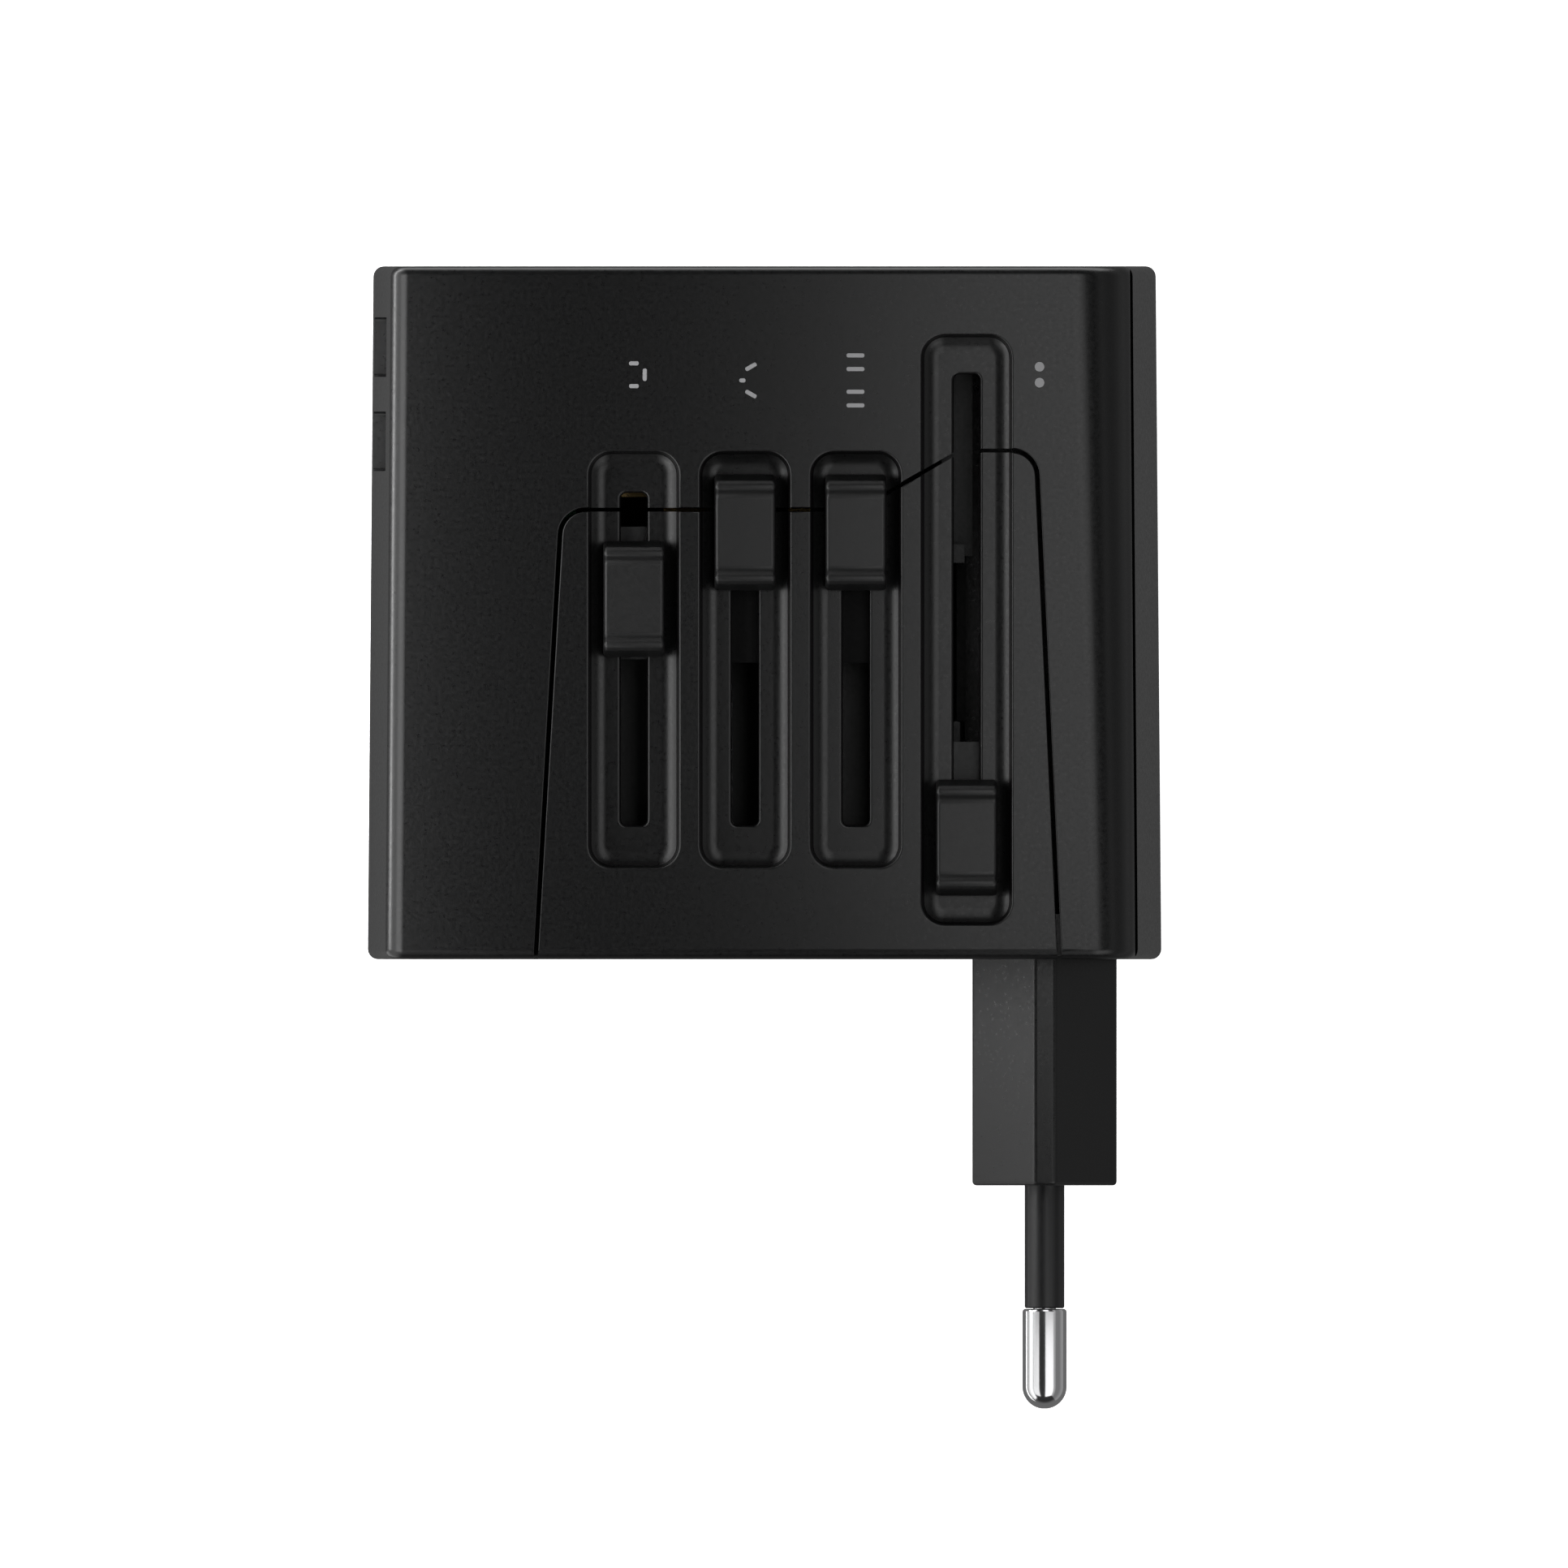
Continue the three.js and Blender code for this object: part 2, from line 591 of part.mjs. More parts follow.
function buildUk() {
  place('uk_knob', knob(SLIDERS.uk), knobBlack);
  place('uk_carriage', ukCarriage(), frameGrey);
  const root = [UK_TIP_Y + 7, UK_ROOT_Y + 2.6];
  ends.forEach(([name, sign]) => {
    const z = PIN_PLANE_Z + sign * UK_PIN_SPACING / 2;
    const pin = joined(
      prismY(ukPinOutline(0, sign), [UK_TIP_Y, UK_TIP_Y + 8]),
      box(spread(UK_LINE_X, 2.2), root, spread(z, 4.5)),
    );
    const sleeve = solid(prismY(ukPinOutline(0, sign), [UK_TIP_Y + 8.1, UK_ROOT_Y - GAP]));
    place(`uk_pin_${name}`, pin, nickel);
    const slit = box(spread(UK_LINE_X, 2.8), [-30, 0], spread(z, 5.1));
    place(`uk_sleeve_${name}`, cutBy(sleeve, slit), knobBlack);
  });
  const earthPin = joined(
    prismY(ukEarthOutline(0), [UK_TIP_Y, UK_ROOT_Y - GAP]),
    box(spread(UK_EARTH_X, 4), [UK_ROOT_Y - 1, UK_ROOT_Y + 2.6], spread(PIN_PLANE_Z, 2)),
  );
  place('uk_pin_earth', earthPin, knobBlack);
}

function bladeCarriage(slider, { x, z, web }, bladeTools) {
  const depth = [BLADE_ROOT_Y, BLADE_ROOT_Y + 5];
  const body = carriageTop(slider)
    .add(solid(box(x, depth, z)))
    .add(solid(box(web, depth, [z[1] - 1, 45])));
  return cutBy(body, ...bladeTools);
}

function buildUsAndAus() {
  const sets = [
    { name: 'us_jp', tip: -26.9, shape: usBladeOutline, x: [2, 8.9], z: [16, 35], web: [4, 6.3] },
    { name: 'aus', tip: -25.8, shape: ausBladeOutline, x: [-5.1, 1.6], z: [14.4, 35.6], web: [-5, -3.5] },
  ];
  sets.forEach(({ name, tip, shape, x, z, web }) => {
    const bore = [BLADE_ROOT_Y - 1, BLADE_ROOT_Y + 3.5];
    const tools = ends.map(([, sign]) => prismY(shape(GAP / 2, sign), bore));
    place(`${name}_knob`, knob(SLIDERS[name]), knobBlack);
    place(`${name}_carriage`, bladeCarriage(SLIDERS[name], { x, z, web }, tools), frameGrey);
    ends.forEach(([end, sign]) => {
      place(`${name}_blade_${end}`, prismY(shape(0, sign), [tip, BLADE_ROOT_Y + 3]), nickel);
    });
  });
}

const EU_SLEEVE_RADIUS = 1.75;
const EU_SHANK_RADIUS = 1;
const EU_TIP_RADIUS = 1.95;
const EU_TIP_LENGTH = 8.8;
const EU_CAP_Y = [EU_BLOCK_Y[1] + GAP, EU_BLOCK_Y[1] + 3.6];

// The metal pin: a thin shank under the sleeve, then a thicker tip with a round end.
function euPin(z) {
  const tipRoot = EU_TIP_Y + EU_TIP_LENGTH;
  const profile = [new THREE.Vector2(0, EU_TIP_Y)];
  [15, 35, 55, 75, 90].forEach((degrees) => {
    const angle = THREE.MathUtils.degToRad(degrees);
    const along = EU_TIP_Y + EU_TIP_RADIUS * (1 - Math.cos(angle));
    profile.push(new THREE.Vector2(EU_TIP_RADIUS * Math.sin(angle), along));
  });
  profile.push(new THREE.Vector2(EU_TIP_RADIUS, tipRoot));
  profile.push(new THREE.Vector2(EU_SHANK_RADIUS, tipRoot));
  profile.push(new THREE.Vector2(EU_SHANK_RADIUS, EU_CAP_Y[0] + 2.4));
  profile.push(new THREE.Vector2(0, EU_CAP_Y[0] + 2.4));
  return new THREE.LatheGeometry(profile, 20).translate(EU_PIN_X, 0, z);
}

function euCarriage() {
  const web = box([18.6, 20.3], EU_CAP_Y, [34, 45]);
  const body = carriageTop(SLIDERS.eu).add(solid(prismY(hexagonOutline(0), EU_CAP_Y))).add(solid(web));
  const depth = [EU_CAP_Y[0] - 1, EU_CAP_Y[0] + 2.7];
  const bores = ends.map(([, sign]) => (
    rodY(EU_SHANK_RADIUS + GAP, EU_PIN_X, depth, PIN_PLANE_Z + sign * EU_PIN_SPACING / 2)
  ));
  return cutBy(body, ...bores);
}

function buildEu() {
  let block = solid(prismY(hexagonOutline(0), EU_BLOCK_Y));
  ends.forEach(([name, sign]) => {
    const z = PIN_PLANE_Z + sign * EU_PIN_SPACING / 2;
    const sleeveY = [EU_TIP_Y + EU_TIP_LENGTH + 0.05, EU_BLOCK_Y[1] - 0.2];
    block = cutBy(block, rodY(EU_SLEEVE_RADIUS + GAP, EU_PIN_X, [EU_BLOCK_Y[0] - 1, EU_BLOCK_Y[1] + 1], z));
    const sleeve = solid(rodY(EU_SLEEVE_RADIUS, EU_PIN_X, sleeveY, z));
    place(`eu_pin_${name}`, euPin(z), nickel);
    place(`eu_sleeve_${name}`, cutBy(sleeve, rodY(EU_SHANK_RADIUS + GAP, EU_PIN_X, [-70, 0], z)), knobBlack);
  });
  place('eu_plug_block', block, caseBlack);
  place('eu_knob', knob(SLIDERS.eu), knobBlack);
  place('eu_carriage', euCarriage(), frameGrey);
}

// ---- shutter and fuse --------------------------------------------------------------------------

function buildShutterAndFuse() {
  place('shutter', box([-12.9, -6.1], [24.2, 25.4], [9.6, 40.4]), frameGrey);
  const fuseX = (DRAWER_X[0] + DRAWER_X[1]) / 2 - 0.4;
  const drawer = solid(box(DRAWER_X, [18.3, SOCKET_FACE_Y], DRAWER_Z));
  const tray = box([DRAWER_X[0] - 1, fuseX + 2.8], spread(22.5, 5.6), [14.7, 35.3]);
  place('fuse_drawer', cutBy(drawer, tray), caseBlack);
  const cap = 2.5;
  const glass = 2.2;
  const profile = [[0, 15], [cap, 15], [cap, 20], [glass, 20], [glass, 30], [cap, 30], [cap, 35], [0, 35]];
  const fuse = new THREE.LatheGeometry(profile.map(([r, z]) => new THREE.Vector2(r, z)), 20);
  place('fuse_link', fuse.rotateX(Math.PI / 2).translate(fuseX, 22.5, 0), ceramic);
}

buildCase();
buildInside();
buildUsb();
buildUk();
buildUsAndAus();
buildEu();
buildShutterAndFuse();

export default adapter;
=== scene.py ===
"""A universal travel adapter, seen straight down on its slider face. Lengths are in millimetres."""

import math

import bmesh
import bpy
from mathutils import Matrix, Vector


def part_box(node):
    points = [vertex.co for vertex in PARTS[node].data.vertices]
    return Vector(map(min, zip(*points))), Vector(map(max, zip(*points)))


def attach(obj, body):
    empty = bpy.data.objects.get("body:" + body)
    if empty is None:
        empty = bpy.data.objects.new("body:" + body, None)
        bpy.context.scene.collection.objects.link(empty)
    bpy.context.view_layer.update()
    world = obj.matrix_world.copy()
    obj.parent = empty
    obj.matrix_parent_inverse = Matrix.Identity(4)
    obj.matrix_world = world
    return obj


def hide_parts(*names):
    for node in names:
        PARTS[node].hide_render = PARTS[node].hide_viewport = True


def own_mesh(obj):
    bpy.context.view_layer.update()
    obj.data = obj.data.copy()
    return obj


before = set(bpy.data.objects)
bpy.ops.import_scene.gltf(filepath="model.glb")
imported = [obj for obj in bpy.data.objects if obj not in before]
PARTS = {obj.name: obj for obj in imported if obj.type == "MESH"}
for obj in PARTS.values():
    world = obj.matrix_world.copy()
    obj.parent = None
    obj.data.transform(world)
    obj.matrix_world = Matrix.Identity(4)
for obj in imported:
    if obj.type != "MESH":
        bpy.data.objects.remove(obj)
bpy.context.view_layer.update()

MM = 0.001


# ---- sizes read from the frame -------------------------------------------------------------------

def span(node):
    """A node's lowest and highest corners, in millimetres."""
    low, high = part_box(node)
    return low / MM, high / MM


def centre_of(node):
    """The middle of a node that runs along Y, as (x, z)."""
    low, high = span(node)
    return ((low.x + high.x) / 2, (low.z + high.z) / 2)


SHELL_LOW, SHELL_HIGH = span("front_shell")
BACK_TOP_Z = span("back_shell")[1].z
FRONT_WALL_Z = span("slider_panel")[0].z
FACE_Z = SHELL_HIGH.z
HALF_LENGTH = SHELL_HIGH.y
PARTING_Z = (SHELL_LOW.z + BACK_TOP_Z) / 2

HALF_WIDTH = 34.68          # at mid length, on the parting line
WIDTH_DRAFT = 0.25          # how much further out each side is at the plug end
END_FILLET = 0.9
LEFT_EDGE_RADIUS = 1.6
RIGHT_EDGE_RADIUS = (5.5, 3.9)   # at the socket end, at the plug end
PLATE_DEPTHS = (3.8, 3.4)   # the plug face plate's, the socket face plate's
SEAM = 0.35                 # the gap round the slider panel
PANEL_EDGE = 0.11           # how much the edges beside that gap are rounded
FLANGE_DEPTH = 1.2          # how far behind an end plate's face its flange starts

WELL_WIDTH = 8.14
WELL_RADIUS = 2.14
WELL_RIM_INSET = 0.13       # the rim's bright line falls on the nominal width
WELL_LIP = 0.2
WELL_WALL = 0.2             # how far the steep wall leans in
WELL_SWEEP = (1.32, 0.46)   # the sweep's width and rise
WELL_FLOOR_Z = FACE_Z - 2.4
SLOT_WIDTH = 2.3
SLOT_LIP = 0.28
# Each slider's well and slot, from end to end along Y.
SHORT_WELL = ((-22.57, 14.29), (-18.71, 10.57))
SLIDERS = {"uk": SHORT_WELL, "aus": SHORT_WELL, "us_jp": SHORT_WELL, "eu": ((-27.57, 24.57), (-23.7, 21.0))}

PIN_PLANE_Z = 25.0
PIN_SPACING = {"uk": 22.2, "eu": 18.6, "us_jp": 12.7, "aus": 13.7}
AUS_TILT = math.radians(30)
BLOCK_FLAT = 0.9            # half the flat at the European block's top and bottom
# Openings in the two end faces for each kind of pin, as (along X, along Z) before any tilt.
PLUG_OPENINGS = {"uk": (4.6, 6.95), "us_jp": (6.9, 2.1), "aus": (6.9, 2.2), "earth": (8.6, 4.6)}
SOCKET_OPENINGS = {"uk": (4.6, 6.8), "us_jp": (6.7, 1.9), "aus": (6.7, 2.0), "earth": (8.4, 4.6)}
SOCKET_X = -9.5             # where the socket's line and neutral openings stand
EARTH_OFFSET = 22.2         # how far along X the earth opening is from them
SOCKET_RIM_X = 2
SOCKET_RIM_RADIUS = 21.4
UK_SHANK = (2.2, 4.5)       # the metal core inside each British pin's sleeve
BLADE_WIDTH = 6.3
BLADE_THICKNESS = {"us_jp": 1.5, "aus": 1.6}

USB_PORT = (5.24, 14.2)     # the opening in the case, along Y and Z
USB_INSIDE = (5.2, 13)      # the opening of the receptacle behind it
SCREWS = (1, 2, 3)
BOSS_RADIUS = 3
BORE_RADIUS = 1.6           # the screws' holes through their bosses
MARK_LINE = 0.36
MARK_WIDTH = 1.57

VIEW_WIDTH = 138            # how much of the scene the picture shows across
VIEW_CENTRE = (1.71, -15.07)


# ---- mesh helpers --------------------------------------------------------------------------------

def rounded(corners, steps=6):
    """Points round a closed outline of (u, v, radius) corners, with each radius as an arc."""
    points = []
    count = len(corners)
    for index, (u, v, radius) in enumerate(corners):
        here = Vector((u, v))
        if radius <= 0:
            points.append(here)
            continue
        before = (Vector(corners[index - 1][:2]) - here).normalized()
        after = (Vector(corners[(index + 1) % count][:2]) - here).normalized()
        half = before.angle(after) / 2
        centre = here + (before + after).normalized() * radius / math.sin(half)
        start = here + before * radius / math.tan(half) - centre
        end = here + after * radius / math.tan(half) - centre
        turn = start.angle_signed(end)
        for step in range(steps + 1):
            points.append(centre + Matrix.Rotation(-turn * step / steps, 2) @ start)
    return points


def about(middle, width):
    return middle - width / 2, middle + width / 2


def rectangle(u, v, radius, steps=6):
    corners = [(u[0], v[0]), (u[1], v[0]), (u[1], v[1]), (u[0], v[1])]
    return rounded([(*corner, radius) for corner in corners], steps)


def tilted(centre, size, tilt, radius=0.15, steps=3):
    """A rectangle of a size about a centre, turned by a tilt."""
    turn = Matrix.Rotation(-tilt, 2)
    flat = rectangle(about(0, size[0]), about(0, size[1]), radius, steps)
    return [Vector(centre) + turn @ p for p in flat]


def circle(centre, radius, count=48):
    angles = [2 * math.pi * index / count for index in range(count)]
    return [Vector((centre[0] + radius * math.cos(a), centre[1] + radius * math.sin(a))) for a in angles]


def grown(points, distance):
    """The same outline moved outwards by a distance, along each point's own normal."""
    area = sum(a.x * b.y - b.x * a.y for a, b in zip(points, points[1:] + points[:1]))
    side = 1 if area > 0 else -1
    moved = []
    for index, point in enumerate(points):
        into = (point - points[index - 1]).normalized()
        away = (points[(index + 1) % len(points)] - point).normalized()
        first = Vector((into.y, -into.x)) * side
        second = Vector((away.y, -away.x)) * side
        normal = (first + second).normalized()
        moved.append(point + normal * distance / max(0.35, normal.dot(first)))
    return moved


def along_x(points, x):
    return [Vector((x, p.x, p.y)) for p in points]


def along_y(points, y):
    return [Vector((p.x, y, p.y)) for p in points]


def along_z(points, z):
    return [Vector((p.x, p.y, z)) for p in points]


def fillet(radius, steps=5):
    """(distance from the end, inset) pairs that round the end of a loft, from the end inwards."""
    pairs = []
    for step in range(steps + 1):
        angle = math.pi / 2 * step / steps
        pairs.append((radius * (1 - math.sin(angle)), radius * (1 - math.cos(angle))))
    return pairs[::-1]


def loft(name, rings):
    """A closed body skinned over rings of points, with a face on each end ring."""
    build = bmesh.new()
    skin = [[build.verts.new(point * MM) for point in ring] for ring in rings]
    for low, high in zip(skin, skin[1:]):
        for index in range(len(low)):
            after = (index + 1) % len(low)
            build.faces.new((low[index], low[after], high[after], high[index]))
    build.faces.new(skin[0])
    build.faces.new(skin[-1])
    bmesh.ops.recalc_face_normals(build, faces=build.faces)
    mesh = bpy.data.meshes.new(name)
    build.to_mesh(mesh)
    build.free()
    piece = bpy.data.objects.new(name, mesh)
    bpy.context.scene.collection.objects.link(piece)
    return piece


def bar(name, points, place, ends, edge, far_edge=None):
    """A prism of an outline between two ends, with its end edges rounded."""
    low, high = ends
    near = [(low + distance, inset) for distance, inset in fillet(edge)] if edge else [(low, 0)]
    other = edge if far_edge is None else far_edge
    far = [(high - distance, inset) for distance, inset in fillet(other)][::-1] if other else [(high, 0)]
    return loft(name, [place(grown(points, -inset), at) for at, inset in near + far])


def combine(piece, tools, operation="DIFFERENCE"):
    """Cuts, joins or trims a piece with tools, which are then thrown away."""
    for tool in tools:
        modifier = piece.modifiers.new("combine", "BOOLEAN")
        modifier.object = tool
        modifier.operation = operation
        modifier.solver = "MANIFOLD"
    bpy.context.view_layer.update()
    solved = piece.evaluated_get(bpy.context.evaluated_depsgraph_get())
    result = bpy.data.meshes.new_from_object(solved)
    piece.modifiers.clear()
    piece.data = result
    for tool in tools:
        bpy.data.objects.remove(tool)
    return piece


def box_tool(x, y, z):
    return loft("tool", [along_z(rectangle(x, y, 0), at) for at in z])


def smooth(piece, angle=32):
    mesh = piece.data
    for polygon in mesh.polygons:
        polygon.use_smooth = True
    mesh.set_sharp_from_angle(angle=math.radians(angle))
    weighted = piece.modifiers.new("weighted_normals", "WEIGHTED_NORMAL")
    weighted.keep_sharp = True
    weighted.weight = 100
    return piece


def finish_piece(piece, body, slot, material, *nodes):
    """Shades a piece, gives it its material and hands it to the frame."""
    smooth(piece)
    piece.data.materials.clear()
    piece.data.materials.append(material)
    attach(piece, body)
    if nodes:
        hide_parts(*nodes)
    return piece


# ---- materials -----------------------------------------------------------------------------------

def shader(name, color, roughness, metallic=0.0, specular=0.5):
    material = bpy.data.materials.new(name)
    material.use_nodes = True
    principled = material.node_tree.nodes["Principled BSDF"]
    principled.inputs["Base Color"].default_value = (*color, 1)
    principled.inputs["Roughness"].default_value = roughness
    principled.inputs["Metallic"].default_value = metallic
    principled.inputs["Specular IOR Level"].default_value = specular
    return material, principled


def noise(tree, scale, detail, stretch=(1, 1, 1)):
    """A noise texture fixed to the piece, in noise cells to the metre."""
    place = tree.nodes.new("ShaderNodeTexCoord")
    mapping = tree.nodes.new("ShaderNodeMapping")
    mapping.inputs["Scale"].default_value = stretch
    texture = tree.nodes.new("ShaderNodeTexNoise")
    texture.inputs["Scale"].default_value = scale
    texture.inputs["Detail"].default_value = detail
    tree.links.new(place.outputs["Object"], mapping.inputs["Vector"])
    tree.links.new(mapping.outputs["Vector"], texture.inputs["Vector"])
    return texture


def ranged(tree, value, low, high):
    """The middle of a noise texture's range, stretched from low to high."""
    spread = tree.nodes.new("ShaderNodeMapRange")
    spread.inputs["From Min"].default_value = 0.3
    spread.inputs["From Max"].default_value = 0.7
    spread.inputs["To Min"].default_value = low
    spread.inputs["To Max"].default_value = high
    tree.links.new(value, spread.inputs["Value"])
    return spread.outputs["Result"]


def tint(tree, principled, value, dark, light):
    """A base colour between two near tones."""
    blend = tree.nodes.new("ShaderNodeMix")
    blend.data_type = "RGBA"
    blend.inputs["A"].default_value = (*dark, 1)
    blend.inputs["B"].default_value = (*light, 1)
    tree.links.new(value, blend.inputs["Factor"])
    tree.links.new(blend.outputs["Result"], principled.inputs["Base Color"])


def bumped(tree, principled, value, strength, depth):
    bump = tree.nodes.new("ShaderNodeBump")
    bump.inputs["Strength"].default_value = strength
    bump.inputs["Distance"].default_value = depth
    tree.links.new(value, bump.inputs["Height"])
    tree.links.new(bump.outputs["Normal"], principled.inputs["Normal"])


def moulded(name, color, roughness, grain=3200, relief=0.25, specular=0.5):
    """Moulded plastic: a fine spark-eroded grain, with faint flow variation in tone and gloss."""
    material, principled = shader(name, color, roughness, specular=specular)
    tree = material.node_tree
    flow = noise(tree, 60, 2)
    fine = noise(tree, grain, 3)
    tone = ranged(tree, flow.outputs["Fac"], 0, 1)
    tint(tree, principled, tone, [c * 0.92 for c in color], [c * 1.08 for c in color])
    gloss = ranged(tree, fine.outputs["Fac"], roughness - 0.05, roughness + 0.05)
    tree.links.new(gloss, principled.inputs["Roughness"])
    bumped(tree, principled, fine.outputs["Fac"], relief, 0.00002)
    return material


def plated(name, color, roughness, stretch=(1, 1, 1), grain=900, relief=0.08):
    """Plated or plain metal: faint drawing marks and small changes in gloss."""
    material, principled = shader(name, color, roughness, metallic=1.0)
    tree = material.node_tree
    marks = noise(tree, grain, 4, stretch)
    gloss = ranged(tree, marks.outputs["Fac"], roughness * 0.75, roughness * 1.3)
    tree.links.new(gloss, principled.inputs["Roughness"])
    bumped(tree, principled, marks.outputs["Fac"], relief, 0.00001)
    return material


CASE = moulded("case_plastic", (0.0035, 0.0036, 0.0038), 0.32, relief=0.12)
KNOB = moulded("knob_plastic", (0.004, 0.0041, 0.0043), 0.44, grain=4200, relief=0.1, specular=0.6)
SLEEVE = moulded("sleeve_plastic", (0.011, 0.011, 0.0118), 0.33, grain=2400, relief=0.06)
CARRIER = moulded("carrier_plastic", (0.011, 0.0113, 0.0117), 0.5)
BLADE_CARRIER = moulded("blade_carrier_plastic", (0.003, 0.003, 0.0032), 0.6, specular=0.12)
CHASSIS = moulded("chassis_plastic", (0.007, 0.0072, 0.0075), 0.5, specular=0.36)
NICKEL = plated("nickel", (0.78, 0.78, 0.79), 0.13, stretch=(1, 0.1, 1))
BRASS = plated("brass_strip", (0.72, 0.53, 0.24), 0.3)
STEEL = plated("steel", (0.6, 0.61, 0.63), 0.3)
GOLD = plated("gold_contact", (0.86, 0.66, 0.3), 0.2)
BOARD = moulded("board_mask", (0.02, 0.16, 0.07), 0.35, grain=1500)
TONGUE = moulded("tongue_white", (0.75, 0.75, 0.73), 0.4, relief=0.1)
WINDING = moulded("winding_tape", (0.6, 0.42, 0.05), 0.4, grain=700)
CAN = moulded("capacitor_sleeve", (0.02, 0.05, 0.12), 0.25, relief=0.05)
LENS = moulded("lens_red", (0.35, 0.01, 0.01), 0.12, relief=0.02)
CERAMIC = moulded("fuse_ceramic", (0.75, 0.73, 0.66), 0.35, relief=0.08)
PRINT = moulded("printed_mark", (0.40, 0.40, 0.41), 0.5, grain=5000, relief=0.1)


# ---- the case ------------------------------------------------------------------------------------

def draft(y):
    """How much wider than at mid length the case is, as a factor."""
    return 1 - WIDTH_DRAFT / HALF_WIDTH * y / HALF_LENGTH


def case_section(y):
    """The outline across the whole case at a place along its length."""
    share = (HALF_LENGTH - y) / (2 * HALF_LENGTH)
    right = RIGHT_EDGE_RADIUS[0] + (RIGHT_EDGE_RADIUS[1] - RIGHT_EDGE_RADIUS[0]) * share
    scale = draft(y)
    corners = [
        (-HALF_WIDTH, PARTING_Z, 1.5), (-33.05, FACE_Z, LEFT_EDGE_RADIUS), (32.02, FACE_Z, right),
        (HALF_WIDTH, PARTING_Z, 1.5), (32.75, 0, 3.0), (-32.75, 0, 3.0),
    ]
    return [Vector((p.x * scale, p.y)) for p in rounded(corners, 12)]


def case_solid():
    rings = []
    for end in (-1, 1):
        steps = fillet(END_FILLET) if end < 0 else fillet(END_FILLET)[::-1]
        for distance, inset in steps:
            y = end * (HALF_LENGTH - distance)
            rings.append(along_y(grown(case_section(y), -inset), y))
    return loft("case", rings)


def cavity_tool():
    """The hollow inside both shells."""
    corners = [
        (-33.18, PARTING_Z, 0), (-31.4, FRONT_WALL_Z, 0), (30.3, FRONT_WALL_Z, 0), (31.2, 44.5, 0),
        (33.18, PARTING_Z, 0), (31.3, 4, 0), (29.5, 1.8, 0), (-29.5, 1.8, 0), (-31.3, 4, 0),
    ]
    ends = (-HALF_LENGTH - 5, HALF_LENGTH + 5)
    rings = [[Vector((p.x * draft(y), y, p.y)) for p in rounded(corners)] for y in ends]
    return loft("tool", rings)


def panel_outline(grow):
    corners = [
        (-20.14, -HALF_LENGTH - 3, 0), (-17.7, 8.9, 2.1), (8.29, 8.9, 0.4), (17.3, 14.1, 0.4),
        (23.75, 14.1, 2.1), (25.93, -HALF_LENGTH - 3, 0),
    ]
    return grown(rounded(corners, 10), grow)


def panel_tool(grow, edge):
    """The slider panel's prism. edge is how far its top edge leans in (below 0) or out (above 0)."""
    rings = [along_z(panel_outline(grow), FRONT_WALL_Z - (0.3 if edge > 0 else 0))]
    for step in range(5):
        angle = math.pi / 2 * step / 4
        lean = edge * (1 - math.cos(angle))
        rings.append(along_z(panel_outline(grow + lean), FACE_Z - abs(edge) * (1 - math.sin(angle))))
    rings.append(along_z(panel_outline(grow + edge * 1.6), FACE_Z + 1))
    return loft("tool", rings)


def slider_x(name):
    low, high = span(name + "_knob")
    return (low.x + high.x) / 2


def well_tool(name):
    """A well: a softly rounded rim, a steep wall and a wide sweep that flattens into its floor."""
    x = slider_x(name)
    rim = rectangle(about(x, WELL_WIDTH), SLIDERS[name][0], WELL_RADIUS, 10)
    rim = grown(rim, -WELL_RIM_INSET)
    profile = [(WELL_LIP * 2, FACE_Z + 1), (WELL_LIP, FACE_Z)]
    for step in range(1, 5):
        angle = math.pi / 2 * step / 4
        profile.append((WELL_LIP * (1 - math.sin(angle)), FACE_Z - WELL_LIP * (1 - math.cos(angle))))
    sweep, rise = WELL_SWEEP
    for step in range(11):
        left = 1 - step / 10
        profile.append((-WELL_WALL - sweep * (1 - left), WELL_FLOOR_Z + rise * left ** 2))
    return loft("tool", [along_z(grown(rim, grow), z) for grow, z in profile])


def slot_tool(name):
    """A slot through the well's floor, with a rounded lip."""
    x = slider_x(name)
    edge = rectangle(about(x, SLOT_WIDTH), SLIDERS[name][1], 0.5, 6)
    profile = [(0, FRONT_WALL_Z - 2)]
    for step in range(6):
        angle = math.pi / 2 * step / 5
        profile.append((SLOT_LIP * (1 - math.cos(angle)), WELL_FLOOR_Z - SLOT_LIP * (1 - math.sin(angle))))
    profile.append((SLOT_LIP * 2, WELL_FLOOR_Z + 1))
    return loft("tool", [along_z(grown(edge, grow), z) for grow, z in profile])


def slider_tools():
    return [tool(name) for tool in (well_tool, slot_tool) for name in SLIDERS]


def side_step_tool():
    """The fine step where the rounded front meets the flared right side."""
    corners = [(32.38, 52), (32.38, 44.7), (32.62, 45.15), (36, 46.2), (36, 52)]
    rings = []
    for y in (-HALF_LENGTH - 3, HALF_LENGTH + 3):
        rings.append([Vector((u * draft(y), y, v)) for u, v in corners])
    return loft("tool", rings)


def tongue_tool(side):
    """The tongue on the back shell that closes the parting line behind its groove."""
    rings = []
    for y in (-HALF_LENGTH + 0.3, HALF_LENGTH - 0.3):
        x = side * (HALF_WIDTH - 1.0) * draft(y)
        rings.append(along_y(rectangle(about(x, 0.7), (PARTING_Z - 0.5, PARTING_Z + 0.1), 0), y))
    return loft("tool", rings)


def usb_port_tool(index):
    """The mouth through the left side."""
    low, high = span(f"usb_shell_{index}")
    middle = ((low.y + high.y) / 2, (low.z + high.z) / 2)
    hole = rectangle(about(middle[0], USB_PORT[0]), about(middle[1], USB_PORT[1]), 0.35, 4)
    return loft("tool", [along_x(hole, -38), along_x(hole, -30)])


